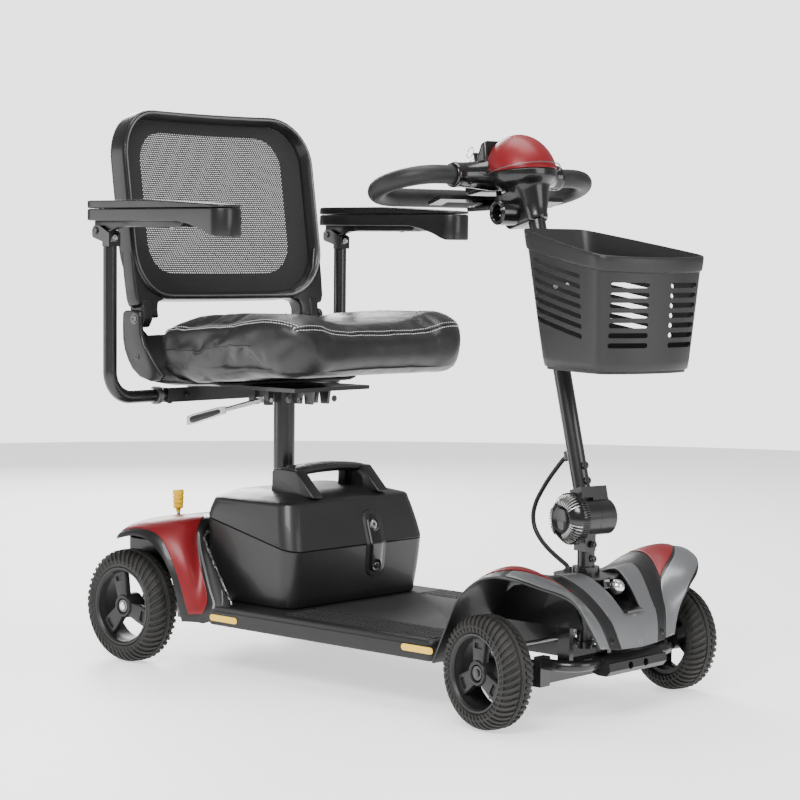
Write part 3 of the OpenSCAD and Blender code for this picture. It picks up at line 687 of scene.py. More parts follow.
def copyInRow(obj, count, step, finish):
    return growTree(obj, "moved", finish, Count=count, Step=[v * mm for v in step], Start=[0.0, 0.0, 0.0])


stitchSet = dict(Gap=5.6, Length=2.1, Thickness=0.75)


def stitches(name, path):
    mesh = bpy.data.meshes.new(name)
    mesh.from_pydata([tuple(p) for p in path], [(i, i + 1) for i in range(len(path) - 1)], [])
    mesh.materials.append(finishes["thread"])
    obj = bpy.data.objects.new(name, mesh)
    bpy.context.scene.collection.objects.link(obj)
    return growTree(obj, "path", "thread", **{key: size * mm for key, size in stitchSet.items()})


def moveMesh(obj, place):
    # a shape made about its own centre goes to its place in the frame
    for v in obj.data.vertices:
        v.co = place(*(c / mm for c in v.co))
    return obj


print("stage: helpers ready")


# wheels
wheelSet = dict(lugs=48, lugWidth=6.2, halfLug=20.3, crownDrop=3.6)


def wheelPlace(jointName, side):
    centre, left = Vector(joints[jointName]["pos_m"]), Vector(joints[jointName]["axis"])
    ahead, outward = Vector((left.y, -left.x, 0)), left * side

    def place(x, y, z):
        return centre + (ahead * x - outward * y + Vector((0, 0, z))) * mm
    return place


def local(x, y, z):
    return Vector((x, y, z)) * mm


def makeLugs(name, radius, side):
    # one tread bar wraps the shoulder from beside the middle rib down to the side wall
    w = wheelSet
    rings = []
    for i in range(8):
        a = math.radians(96 - 110 * i / 7)
        s1, r1 = 8.5 + w["halfLug"] * math.cos(a), radius - 20.8 + w["halfLug"] * math.sin(a)
        s0, r0 = 8.5 + (w["halfLug"] - 3.8) * math.cos(a), radius - 20.8 + (w["halfLug"]
                - 3.8) * math.sin(a)
        taper = 0.62 if i in (0, 7) else 1.0
        lean = 0.030 * (i - 2)
        half, base = w["lugWidth"] / 2 * taper * 0.86, w["lugWidth"] / 2 * taper * 1.15
        ring = []
        for r, s, h in ((r0, s0, -base), (r1, s1, -half), (r1, s1, half), (r0, s0, base)):
            a2 = h / radius + lean
            ring.append(local(r * math.sin(a2), -side * s, r * math.cos(a2)))
        rings.append(ring)
    lug = loft(name, rings, "treadRubber", smooth=False)
    return copyRound(lug, w["lugs"], "treadRubber", start=(math.pi / w["lugs"] if side < 0 else 0.0))


def makeTire(name, radius, bead, place, body, replaced):
    w = wheelSet
    crown = radius - w["crownDrop"]
    outer = [(bead, 23.5), (bead + 2.5, 26.3), (radius - 24, 27.6)]
    shoulder = [(radius - 21.5 + 17.6 * math.sin(math.radians(a)), 8.5 + 17.8 * math.cos(math.radians(a)))
                for a in (8, 22, 38, 54, 70, 84)]
    half1 = outer + shoulder
    rib = [(crown - 0.2, 3.6), (radius - 0.4, 2.6), (radius - 0.4, 0.9), (radius - 1.4, 0.0)]
    profile = half1 + rib + [(r, -s) for r, s in reversed(half1 + rib[:-1])]
    carcass = spin(name + "Body", [(r, -s) for r, s in profile], local, "treadRubber", 96, 1, True)
    beads = [spin(name + "Ring", [(bead + r, s * out) for r,
                                  out in ((9, 27.2), (10, 28.0), (11.5, 28.0), (12.5, 27.3))],
                  local, "treadRubber", 96, 1, True) for s in (-1, 1)]
    tire = join(name, [carcass] + beads + [makeLugs(name + "Lugs", radius, s) for s in (1, -1)])
    moveMesh(tire, place)
    tidyNormals(tire, fineMerge)
    return done(tire, body, "tread_rubber", replaced)


def makeRim(name, bead, turn, place, body, replaced):
    flange = [(bead - 0.1, -20.5), (bead + 1.2, -24.0), (bead - 0.5, -26.0), (bead - 3.5, -25.6),
              (bead - 6.2, -22.4),
              (bead - 7.0, -14), (bead - 9.5, -9.5), (bead - 9.5, -7.5), (bead - 7.4, -5),
              (bead - 7.0, 22), (bead - 0.1, 22)]
    ring = spin(name + "Ring", flange, local, "rimPlastic", 96, 1, True)
    hub = spin(name + "Hub", [(8.3, -14.0), (12.6, -14.0), (13.4, -21.2), (15.4, -22.6), (18.6, -22.0),
                              (20.4, -19.0),
                              (21.4, -10), (21.8, 10.5), (8.3, 10.5)], local, "rimPlastic", 48, 1, True)
    spokeRings = []
    for r, half, face in ((14, 12.2, -19.5), (26, 13.2, -19.0), (40, 15.2, -18.4),
                          (bead - 8.5, 16.6, -17.6), (bead - 5.5, 17.2, -16.0)):
        spokeRings.append([local(half, face, r), local(half + 1.2, -8.6, r), local(-half - 1.2, -8.6, r),
                           local(-half, face, r)])
    spoke = soften(loft(name + "Spoke", spokeRings, "rimPlastic", smooth=False), 1.6, 2, 30)
    slot = mmBox(name + "Slot", (-9.5, -21, bead - 24), (9.5, -14.4, bead - 15), "rimPlastic", local)
    cut(spoke, soften(slot, 1.5, 2, 30))
    spoke = smoothByAngle(copyRound(spoke, 3, "rimPlastic", start=math.radians(turn)), 40)
    rim = join(name, [ring, hub, spoke])
    moveMesh(rim, place)
    tidyNormals(rim, fineMerge)
    return done(rim, body, "rim_plastic", replaced)


rearRadius = (rearHigh[2] - rearLow[2]) / 2 / mm
frontRadius = (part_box("front_tire_right")[1][2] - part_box("front_tire_right")[0][2]) / 2 / mm
for sideName, side in bothSides:
    for axle, radius, bead, turn in (("front", frontRadius, frontRadius - 27.6, 0),
                                     ("rear", rearRadius, rearRadius - 31.2, -14)):
        place = wheelPlace(f"{axle}_roll_{sideName}", side)
        body = f"{axle}_wheel_{sideName}"
        makeTire(f"{axle}Tire_{sideName}", radius, bead, place, body, f"{axle}_tire_{sideName}")
        makeRim(f"{axle}Wheel_{sideName}", bead, turn, place, body, f"{axle}_rim_{sideName}")
        nut = spin(f"{axle}Nut_{sideName}",
                   [(0, -22.8), (5.2, -22.8), (6.6, -22.2), (6.9, -20.4), (9.8, -20.2), (10.4, -19.4),
                    (10.4, -17), (0, -17)],
                   local, "ballChrome" if axle == "rear" else "powderBlack", 6 if axle == "front" else 24)
        done(moveMesh(nut, place), body, "zinc" if axle == "rear" else "frame_black")
        tidyNormals(nut)
print("stage: wheels")


# deck and mat
def roundedRect(x0, x1, halfY, corner, steps=6):
    ring = []
    for cx, cy, a0 in ((x1 - corner, halfY - corner, 0), (x0 + corner, halfY - corner, 90),
                       (x0 + corner, corner - halfY, 180), (x1 - corner, corner - halfY, 270)):
        for k in range(steps + 1):
            a = math.radians(a0 + 90 * k / steps)
            ring.append((cx + corner * math.cos(a), cy + corner * math.sin(a)))
    return ring


deckSet = dict(rear=-241, front=277, half=215)
deckRings = [[at(x, y, z) for x,
              y in roundedRect(deckSet["rear"] + i, deckSet["front"] - i, deckSet["half"] - i, 12)]
             for z, i in ((83.5, 4.0), (84.4, 1.2), (86.5, 0.0), (107.5, 0.0), (108.2, 0.9), (109.2, 0.9),
                          (110, 0.0),
                          (114, 0.2), (116.6, 1.4), (117.7, 3.6), (118.0, 6.5))]
tray = smoothByAngle(loft("deckTray", deckRings, "deckPlastic"), 45)
tongue = soften(mmBox("deckTongue", (270, -140, 104), (301, 140, 118), "deckPlastic"), 2.5)
pan = join("floorTray", [tray, tongue])
done(pan, "root", "deck_plastic", "floor_pan")


def matField(name, x0, x1, y0, y1, studX, studY, nx, ny):
    stud = soften(mmBox(name + "Stud", (-studX / 2, -studY / 2, 0), (studX / 2, studY / 2, 1.5),
                        "matRubber", local), 0.5, 1, 30)
    row = copyInRow(stud, nx, ((x1 - x0) / (nx - 1), 0, 0), "matRubber")
    field = copyInRow(row, ny, (0, (y1 - y0) / (ny - 1), 0), "matRubber")
    return moveMesh(field, lambda x, y, z: at(x + x0, y + y0, z + 119.4))


matSheet = loft("matSheet", [[at(x, y, z) for x, y in roundedRect(-70 + i, 268 - i, 200 - i, 9)]
                             for z, i in ((118.0, 0), (119.0, 0), (119.5, 0.8))], "matRubber")
matPad = loft("matPad", [[at(x, y, z) for x, y in roundedRect(-66 + i, 262 - i, 128 - i, 5)]
                         for z, i in ((119.0, 0), (120.5, 0), (120.9, 0.8))], "matRubber")
studsRight = matField("matStuds", -58, 262, -194, -136, 9.5, 5.0, 26, 8)
studsLeft = matField("matStudsLeft", -58, 262, 136, 194, 9.5, 5.0, 26, 8)
mat = join("footMat", [matSheet, matPad, studsRight, studsLeft])
tidyNormals(mat, fineMerge)
done(smoothByAngle(mat, 40), "root", "mat_rubber", "foot_mat")
for name, x in (("front", 245), ("rear", -199.5)):
    for side in (-1, 1):
        lens = [[at(x + px, side * (214.6 + out), (101.5 if x > 0 else 96.8) + pz) for px, pz in
                 [(28 + 5.4 * math.cos(math.radians(a)), 5.4 * math.sin(math.radians(a)))
                  for a in range(-90, 91, 15)]
                 + [(-28 + 5.4 * math.cos(math.radians(a)), 5.4 * math.sin(math.radians(a)))
                    for a in range(90, 271, 15)]]
                for out in (0, 1.2)]
        top = [[v + (at(x, side * 215.8, 99) - v) * Vector((0.05, 0, 0.05)).x for v in lens[1]]]
        pill = loft(f"reflector_{name}_{'right' if side < 0 else 'left'}", lens + top, "reflectorYellow")
        for v in pill.data.vertices:
            if abs(v.co.y) > at(0, 215.79, 0).y:
                v.co.y += side * 0.35 * mm
        done(pill, "root", "reflector", *(["reflectors"] if (name, side) == ("front", -1) else []))
print("stage: deck")


# skins drawn through lines
def curveAt(points, count):
    # the line resampled evenly
    path = smoothPath([Vector(p) for p in points], 10)
    lengths = [0.0]
    for a, b in zip(path, path[1:]):
        lengths.append(lengths[-1] + (b - a).length)
    out, k = [], 0
    for i in range(count):
        want = lengths[-1] * i / (count - 1)
        while k < len(path) - 2 and lengths[k + 1] < want:
            k += 1
        span = lengths[k + 1] - lengths[k]
        out.append(path[k].lerp(path[k + 1], (want - lengths[k]) / span if span else 0))
    return out


def skinGrid(columns, rowSteps=6, columnSteps=6):
    # columns of points with the same rows; both ways are smoothed
    smoothColumns = [smoothPath([Vector(p) for p in c], rowSteps) for c in columns]
    rows = len(smoothColumns[0])
    return [smoothPath([c[r] for c in smoothColumns], columnSteps) for r in range(rows)]


def skin(name, grid, finish, side):
    n = len(grid[0])
    points = [at(p.x, p.y * side, p.z) for row in grid for p in row]
    faces = [(r * n + c, r * n + c + 1, (r + 1) * n + c + 1, (r + 1) * n + c)
             for r in range(len(grid) - 1) for c in range(n - 1)]
    return makePiece(name, points, faces, finish)


def faceUp(obj):
    # an open skin looks outwards: its normals lean up or out
    bm = bmesh.new()
    bm.from_mesh(obj.data)
    bmesh.ops.remove_doubles(bm, verts=bm.verts, dist=0.00005)
    bmesh.ops.recalc_face_normals(bm, faces=bm.faces)
    if sum(f.normal.z * f.calc_area() for f in bm.faces) < 0:
        bmesh.ops.reverse_faces(bm, faces=bm.faces)
    bm.to_mesh(obj.data)
    bm.free()
    return obj


def wholeSkin(name, grid):
    return faceUp(join(name, [skin(name + "Half", grid, "coverBlack", s) for s in (-1, 1)]))


def treeOf(obj):
    return BVHTree.FromPolygons([v.co.copy() for v in obj.data.vertices],
                                [tuple(p.vertices) for p in obj.data.polygons])


def patch(name, lineA, lineB, tree, lift, finish, side, along=34, across=12, wall=2.2, crown=0.0):
    # a raised panel between two lines, laid on the skin under it
    a, b = curveAt(lineA, along), curveAt(lineB, along)
    points, faces = [], []
    for i in range(along):
        for k in range(across + 1):
            p = a[i].lerp(b[i], k / across)
            spot, normal = tree.find_nearest(at(p.x, p.y * side, p.z))[:2]
            swell = math.sin(math.pi * k / across) * math.sin(math.pi * i / (along - 1))
            points.append(spot + normal * (lift + crown * swell) * mm)
    n = across + 1
    faces = [(i * n + k, i * n + k + 1, (i + 1) * n + k + 1, (i + 1) * n + k) for i in range(along - 1)
             for k in range(across)]
    piece = faceUp(makePiece(name, points, faces, finish))
    thicken(piece, wall)
    return smoothByAngle(soften(piece, 0.7, 2, 50), 40)


# nose and front fenders
noseColumns = [
    [(302, 245, 91), (329, 245, 150), (351, 245, 194), (386, 245, 226), (420, 245, 238), (452, 235, 236),
     (481, 215, 226), (505, 180, 211), (512, 150, 193), (512, 120, 157), (519, 100, 121)],
    [(302, 230, 91), (329, 230, 151), (351, 230, 196), (385, 229, 230), (418, 226, 243), (448, 216, 242),
     (475, 196, 231), (496, 163, 215), (505, 136, 191), (511, 111, 157), (518, 94, 120)],
    [(302, 200, 91), (329, 200, 151), (350, 200, 196), (382, 200, 232), (412, 196, 246), (437, 186, 244),
     (460, 167, 233), (480, 138, 214), (494, 116, 189), (509, 97, 156), (518, 82, 119)],
    [(302, 150, 91), (326, 150, 151), (348, 150, 195), (374, 150, 228), (400, 150, 238), (424, 146, 237),
     (448, 136, 226), (470, 115, 208), (490, 97, 185), (509, 82, 155), (519, 70, 117)],
    [(301, 105, 91), (323, 105, 151), (346, 105, 194), (367, 105, 212), (390, 105, 220), (414, 104, 225),
     (438, 98, 226), (463, 86, 211), (487, 75, 187), (510, 63, 155), (520.5, 54, 115)],
    [(300, 52, 91), (320, 52, 151), (345, 52, 193), (365, 52, 209), (388, 52, 214), (412, 52, 219),
     (440, 48, 224), (465, 44, 211), (490, 38, 187), (512, 33, 155), (522.5, 28, 114)],
    [(300, 0, 91), (319, 0, 151), (344, 0, 192), (365, 0, 207), (388, 0, 211), (412, 0, 214),
     (440, 0, 219), (466, 0, 208), (491, 0, 187), (513, 0, 155), (524, 0, 113)]]
nose = wholeSkin("noseShell", skinGrid(noseColumns, 5, 5))
noseTree = treeOf(nose)
thicken(nose, 3.2)
soften(nose, 1.0, 2, 50)


def prism(name, outline, low, high, finish):
    # an upright prism whose floor follows low(x)
    rings = [[at(x, y, low(x)) for x, y in outline], [at(x, y, high) for x, y in outline]]
    return loft(name, rings, finish, smooth=False)


recessOutline = [(384, -36), (442, -41), (506, -21.5), (540, -21.5), (540, 21.5), (506, 21.5), (442, 41),
                 (384, 36)]
recessFloor = lambda x: 196 - (x - 384) * 0.2
cut(nose, prism("noseRecess", recessOutline, recessFloor, 300, "coverBlack"))


def columnHole(name, radius):
    # an upright round cutter on the steering column
    ring = [(413.5 + radius * math.cos(a), radius * math.sin(a))
            for a in (2 * math.pi * k / 32 for k in range(32))]
    return loft(name, [[at(x, y, z) for x, y in ring] for z in (150, 260)], "coverBlack")


cut(nose, columnHole("stemHole", 30))
smoothByAngle(nose, 42)
done(nose, "root", "cover_black", "nose_cover", "front_fender_right", "front_fender_left", "nose_panel",
     "front_insert_right", "front_insert_left")
trayRim = [(384, -35.5), (442, -40.5), (506, -21), (513, -21)]
trayRing = trayRim + [(x, -y) for x, y in reversed(trayRim)]
rings = [[at(x, y, recessFloor(x) - 3 + extra) for x, y in trayRing] for extra in (0, 3.2)]
recessTray = loft("noseRecessTray", rings, "glossBlack", smooth=False)
cut(recessTray, columnHole("collarHole", 27))
walls = []
for s in (-1, 1):
    pts = []
    for x, y, high in ((384, 36.2, 213), (442, 41.2, 222), (506, 21.7, 169), (512, 21.7, 158)):
        low, top = recessFloor(x) - 3, max(high, recessFloor(x) - 2)
        pts += [at(x, s * yy, zz) for yy, zz in ((y, low), (y, top), (y + 2.2, top), (y + 2.2, low))]
    walls.append(loft("recessWall", [pts[i * 4:i * 4 + 4] for i in range(4)], "glossBlack", smooth=False))
recessTray = join("noseRecessPan", [recessTray] + walls)
tidyNormals(recessTray, fineMerge)
done(recessTray, "root", "cover_black")

redTop = [(366, 224, 216), (386, 228, 229), (412, 222, 241), (434, 206, 243), (452, 180, 234),
          (464, 148, 217), (473, 119, 206)]
redLow = [(366, 172, 216), (380, 160, 230), (402, 152, 240), (425, 146, 238), (446, 137, 227),
          (462, 126, 213), (474, 118, 205)]
silverOut = [(440, 234.5, 240), (466, 221, 232), (488, 201, 221), (502, 172, 208), (508, 146, 190),
             (509.5, 118, 157), (517, 99, 122), (518, 97, 114)]
silverIn = [(436, 212, 244), (458, 179, 232), (470, 146, 215), (479, 116, 203), (492, 99, 182),
            (507, 88, 156), (516, 77, 126), (518, 75, 114)]
stripeOut = [(452, 121, 222), (468, 113, 210), (481, 103, 195), (494, 93, 178), (507, 84, 156),
             (515, 76, 130), (518, 73, 114)]
stripeIn = [(436, 101, 226), (456, 91, 216), (474, 81, 201), (490, 71, 182), (505, 61, 160),
            (516, 53, 132), (521, 47, 113)]
armOut = [(430, 96, 226), (454, 88, 217), (472, 78, 203), (488, 69, 185), (500, 63, 168), (505, 61, 160)]
armIn = [(420, 46, 219), (442, 43.5, 223), (462, 37, 212), (482, 30, 195), (496, 26, 181), (507, 23, 167)]
chinOut = [(502, 62.5, 165), (506, 59.5, 157), (511, 56, 145), (516, 52, 130), (520, 48, 118),
           (521, 46, 112)]
chinIn = [(505, 0, 171), (511, 0, 160), (515, 0, 148), (519, 0, 134), (523, 0, 119), (524, 0, 112)]
frontPanels = {
    "Red": (redTop, redLow, "panelRed", "panel_red", 1.2, 1.6, 14),
    "SilverOuter": (silverOut, silverIn, "coverSilver", "cover_silver", 1.0, 0.6, 12),
    "Stripe": (stripeOut, stripeIn, "coverBlack", "cover_black", 0.2, 0.0, 8),
    "SilverArm": (armOut, armIn, "coverSilver", "cover_silver", 1.2, 1.0, 12)}
for panelName, (lineA, lineB, finish, slotName, lift, crown, across) in frontPanels.items():
    for sideName, side in bothSides:
        piece = patch(f"nose{panelName}_{sideName}", lineA, lineB, noseTree, lift, finish, side, 40,
                      across, 2.4, crown)
        done(piece, "root", slotName)
chins = [patch(f"chin{s}", chinOut, chinIn, noseTree, 1.6, "coverSilver", s, 24, 14, 2.6, 0.0)
         for s in (-1, 1)]
chin = tidyNormals(join("noseChin", chins), 0.0002)
done(smoothByAngle(chin, 40), "root", "cover_silver")
for sideName, side in bothSides:
    inside = makePiece(f"wheelWell_{sideName}", [at(x, side * 124, z) for x, z in (
        (322, 152), (346, 191), (368, 207), (400, 214), (440, 219), (470, 206), (492, 183), (506, 152))],
        [tuple(range(8))], "coverBlack", False)
    bm = bmesh.new()
    bm.from_mesh(inside.data)
    bmesh.ops.triangulate(bm, faces=bm.faces)
    bm.to_mesh(inside.data)
    bm.free()
    thicken(inside, 3, 0.0)
    done(tidyNormals(inside), "root", "cover_black")
    spot, normal = noseTree.find_nearest(at(514.5, side * 66, 129))[:2]
    turn = normal.to_track_quat("Z", "Y").to_matrix()
    screw = spin(f"noseScrew_{sideName}",
                 [(0, 0.6), (2.4, 0.6), (2.6, 1.6), (4.2, 1.5), (5.0, 0.9), (5.2, -1), (0, -1)],
                 lambda x, y, z: spot + turn @ (Vector((x, y, z)) * mm), "glossBlack", 24, 2)
    done(screw, "root", "cover_black")
print("stage: nose")


# rear body and fenders
rearColumns = [
    [(-461, 229, 213), (-426, 258, 221), (-380, 259, 229), (-337, 255, 217), (-299, 250, 171),
     (-281, 241, 98), (-279, 240, 86)],
    [(-461, 222, 217), (-427, 250, 229), (-380, 252, 238), (-333, 248, 228), (-293, 243, 176),
     (-273, 236, 104), (-271, 235, 86)],
    [(-460, 198, 221), (-429, 222, 239), (-381, 226, 250), (-324, 224, 245), (-281, 224, 190),
     (-258, 226, 112), (-255, 226, 86)],
    [(-459, 160, 222), (-432, 175, 241), (-382, 182, 255), (-313, 186, 257), (-293, 193, 222),
     (-239, 214, 126), (-240, 216, 86)],
    [(-459, 90, 222), (-436, 90, 241), (-384, 90, 256), (-308, 110, 259), (-287, 180, 232),
     (-195, 205, 127), (-196, 206, 112)],
    [(-459, 0, 222), (-437, 0, 241), (-385, 0, 256), (-304, 0, 259), (-303, 165, 225), (-300, 176, 127),
     (-300, 176, 112)]]
rearShell = wholeSkin("rearShell", skinGrid(rearColumns, 6, 5))
rearTree = treeOf(rearShell)
thicken(rearShell, 3.2)
soften(rearShell, 1.0, 2, 50)
leverSlot = soften(mmBox("leverSlot", (-416, -158, 200), (-378, -142, 300), "coverBlack"), 3, 2)
cut(rearShell, leverSlot)
done(smoothByAngle(rearShell, 42), "root", "cover_black", "rear_shroud")
apron = mmBox("rearApronCore", (-460, -200, 150), (-456, 200, 221), "coverBlack")
sidesOfRear = [mmBox("rearSide", (-458, s * 200 - 2, 150), (-303, s * 200 + 2, 214), "coverBlack")
               for s in (-1, 1)]
apron = join("rearApron", [soften(o, 1.2) for o in [apron] + sidesOfRear])
done(apron, "root", "cover_black")
rearRedOut = [(-451, 222, 226), (-426, 246, 232), (-380, 249, 241), (-334, 244, 231), (-309, 241, 200),
              (-289, 238, 160), (-273, 234, 112), (-268, 232, 99)]
rearRedIn = [(-440, 152, 236), (-405, 150, 249), (-360, 150, 256), (-316, 153, 258), (-303, 180, 246),
             (-286, 196, 205), (-242, 213, 131), (-247, 219, 101)]
stripWideA = [(-281, 186, 231), (-262, 190, 209), (-240, 196, 181), (-218, 202, 151), (-207, 206, 128),
              (-206, 207, 119)]
stripWideB = [(-277, 181, 231), (-252, 184, 204), (-227, 190, 174), (-205, 197, 147), (-192, 203, 128),
              (-191, 204, 119)]
stripThinA = [(-296, 186, 238), (-285, 195, 214), (-262, 204, 176), (-240, 211, 142), (-227, 213, 122),
              (-228, 214, 112)]
stripThinB = [(-293, 185, 238), (-281, 193, 213), (-257, 202, 175), (-236, 209, 142), (-222, 212, 122),
              (-223, 213, 112)]
rearPanels = {
    "Red": (rearRedOut, rearRedIn, "panelRed", "panel_red", 1.2, 1.5, 22),
    "StripWide": (stripWideA, stripWideB, "coverSilver", "cover_silver", 1.2, 0.6, 6),
    "StripThin": (stripThinA, stripThinB, "coverSilver", "cover_silver", 1.0, 0.2, 3)}
for panelName, (lineA, lineB, finish, slotName, lift, crown, across) in rearPanels.items():
    for sideName, side in bothSides:
        piece = patch(f"rear{panelName}_{sideName}", lineA, lineB, rearTree, lift, finish, side, 48,
                      across, 2.2, crown)
        if panelName == "Red" and side < 0:
            cut(piece, soften(mmBox("leverGap", (-417, -159, 200), (-377, -140, 300), "coverBlack"), 3, 2))
        done(piece, "root", slotName, *([f"rear_panel_{sideName}"] if panelName == "Red" else []))
print("stage: rear body")


# battery box
boxSet = dict(rear=-299, lowFront=-89.5, lowHalf=165.5, seamFront=-77.5, seamHalf=173.5, seamZ=217,
              seamRise=49 / 219,
              topFront=-98, topHalf=160, topZ=297)


def seamRing(inset=0.0, shift=0.0):
    return [(x, y, boxSet["seamZ"] + (boxSet["seamFront"] - x) * boxSet["seamRise"] + shift)
            for x, y in roundedRect(boxSet["rear"] + inset, boxSet["seamFront"] - inset,
                                    boxSet["seamHalf"] - inset, 30, 10)]


def flatRing(front, half, z, corner, rear=boxSet["rear"], inset=0.0):
    return [(x, y, z) for x, y in roundedRect(rear + inset, front - inset, half - inset, corner, 10)]


def between(r0, r1, f, swell=0.0):
    ring = []
    for p, q in zip(r0, r1):
        x, y, z = (p[i] + (q[i] - p[i]) * f for i in range(3))
        cx = -190
        away = Vector((x - cx, y, 0)).normalized()
        ring.append((x + away.x * swell * (1 if x > cx else 0), y + away.y * swell, z))
    return ring


lowRing, seamLow = flatRing(boxSet["lowFront"], boxSet["lowHalf"], 122, 26), seamRing(0, -1.0)
tubRings = [flatRing(boxSet["lowFront"], boxSet["lowHalf"], 118.5, 24, inset=5),
            flatRing(boxSet["lowFront"], boxSet["lowHalf"], 119.2, 25, inset=2.2), lowRing]
tubRings += [between(lowRing, seamLow, f, 1.4 * math.sin(math.pi * f))
             for f in (0.15, 0.35, 0.55, 0.75, 0.9)]
tubRings += [seamRing(0, -1.6), seamRing(0.7, -0.8), seamRing(2.4, -0.5)]
tub = loft("batteryTub", [[at(*p) for p in r] for r in tubRings], "batteryPlastic")
topEdge = flatRing(boxSet["topFront"], boxSet["topHalf"], boxSet["topZ"] - 5, 30)
lidRings = [seamRing(2.4, 0.4), seamRing(0.5, 0.7), seamRing(-0.1, 1.8)]
lidRings += [between(seamRing(-0.1, 1.8), topEdge, f, 1.6 * math.sin(math.pi * f))
             for f in (0.2, 0.45, 0.7, 0.9)]
lidRings += [topEdge, flatRing(boxSet["topFront"], boxSet["topHalf"], boxSet["topZ"] - 2, 29, inset=1.2),
             flatRing(boxSet["topFront"], boxSet["topHalf"], boxSet["topZ"] + 0.4, 28, inset=4.2)]
lidRings += [between(lidRings[-1], flatRing(-135, 115, 309, 26, -279), f) for f in (0.25, 0.5, 0.75)]
lidRings += [flatRing(-140, 108, 309.3, 24, -274), flatRing(-160, 80, 310.4, 20, -256)]
lid = loft("batteryLid", [[at(*p) for p in r] for r in lidRings], "batteryPlastic")
for piece, node in ((tub, "battery_tub"), (lid, "battery_lid")):
    notch = soften(mmBox("postNotch", (-330, -27, 90), (-243, 27, 350), "batteryPlastic"), 12, 5, 30)
    cut(piece, notch)
    done(smoothByAngle(piece, 34), "battery", "battery_plastic", node)


def boxFront(z):
    # the front face's x at a height
    if z < boxSet["seamZ"]:
        return boxSet["lowFront"] + (boxSet["seamFront"] - boxSet["lowFront"]) * (z
                - 122) / (boxSet["seamZ"] - 122)
    return boxSet["seamFront"] + (boxSet["topFront"] - boxSet["seamFront"]) * (z
            - boxSet["seamZ"]) / (boxSet["topZ"] - boxSet["seamZ"])


def faceShape(name, middle, half, lowZ, highZ, lift, depth, finish, corner):
    # a rounded panel that follows the front face
    rows = 26
    outline = []
    for k in range(rows + 1):
        z = lowZ + (highZ - lowZ) * k / rows
        end = min(z - lowZ, highZ - z)
        pull = corner - math.sqrt(max(0.0, corner ** 2 - (corner - min(end, corner)) ** 2))
        outline.append((z, half - pull))
    rings = []
    for z, h in outline:
        h = max(h, 1.5)
        x = boxFront(z)
        cross = [(-h, -depth), (-h, lift - 1.4), (-h + 1.4, lift - 0.3), (-h / 2, lift), (0, lift + 0.3),
                 (h / 2, lift), (h - 1.4, lift - 0.3), (h, lift - 1.4), (h, -depth)]
        rings.append([at(x + out, middle(z) + y, z) for y, out in cross])
    return smoothByAngle(loft(name, rings, finish), 45)


strapMiddle = lambda z: 37.5 + (z - 217) * -0.03
strap = faceShape("batteryStrap", strapMiddle, 25, 158, 276, 2.2, 3.0, "batteryPlastic", 20)
inner = faceShape("batteryStrapInner", strapMiddle, 17, 166, 268, 3.6, 3.0, "glossBlack", 15)
done(strap, "battery", "battery_plastic")
done(inner, "battery", "battery_plastic")


def onFront(y0, z0):
    x0 = boxFront(z0)
    slope = (boxFront(z0 + 4) - boxFront(z0 - 4)) / 8
    out = Vector((1, 0, -slope)).normalized()
    up = Vector((slope, 0, 1)).normalized()

    def place(x, y, z):
        return at(x0, y0, z0) + (out * z + Vector((0, 1, 0)) * x + up * y) * mm
    return place


socket = spin("chargeSocket", [(0, 3.2), (3.0, 3.2), (3.2, 5.0), (6.6, 5.4), (7.8, 4.6), (8.0, 2), (0, 2)],
              onFront(36, 249), "ballChrome", 32, 2)
socketRing = spin("chargeSocketRing",
                  [(8.4, 2), (8.4, 4.8), (9.6, 5.6), (11.6, 5.0), (12.4, 3.0), (12.4, 2)],
                  onFront(36, 249), "glossBlack", 40, 2, True)
plug = spin("chargePlug", [(0, 5.8), (5.6, 5.6), (6.4, 4.4), (8.6, 4.6), (10.6, 5.4), (11.8, 4.2),
                           (12.0, 2), (0, 2)], onFront(40, 178), "glossBlack", 40, 2)
done(tidyNormals(socket), "battery", "battery_plastic")
done(socketRing, "battery", "battery_plastic")
done(tidyNormals(plug), "battery", "battery_plastic")


def sidePrism(name, outline, y0, y1, finish):
    rings = [[at(x, y, z) for x, z in outline] for y in (y0, y1)]
    return loft(name, rings, finish, smooth=False)


handleParts = []
for s in (-1, 1):
    pillar = [(-205, 306), (-103, 303), (-104, 306.5), (-146, 347.5), (-197, 349.5), (-204, 343)]
    shape = sidePrism("handlePillar", pillar, s * 71, s * 96, "batteryPlastic")
    window = sidePrism("handleWindow", [(-190, 296), (-140, 296), (-146, 326), (-166, 338), (-186, 334)],
                       s * 60, s * 82, "batteryPlastic")
    cut(shape, window)
    handleParts.append(soften(shape, 3.0, 3, 30))
gripRings = []
for k in range(17):
    y = -86 + 172 * k / 16
    rise = 6.0 * (1 - (y / 86) ** 2)
    cross = [(-198, 338), (-200, 343), (-197, 347.5), (-190, 349.5), (-172, 350.5), (-156, 349.5),
             (-149, 346.5), (-148, 341), (-156, 336.5), (-174, 334.5), (-190, 334.5)]
    gripRings.append([at(x, y, z + rise * (0.7 if z < 340 else 1.0)) for x, z in cross])
handleParts.append(smoothByAngle(loft("handleGrip", gripRings, "batteryPlastic"), 50))
handle = join("batteryHandle", handleParts)
done(smoothByAngle(handle, 40), "battery", "battery_plastic", "battery_handle")
print("stage: battery box")


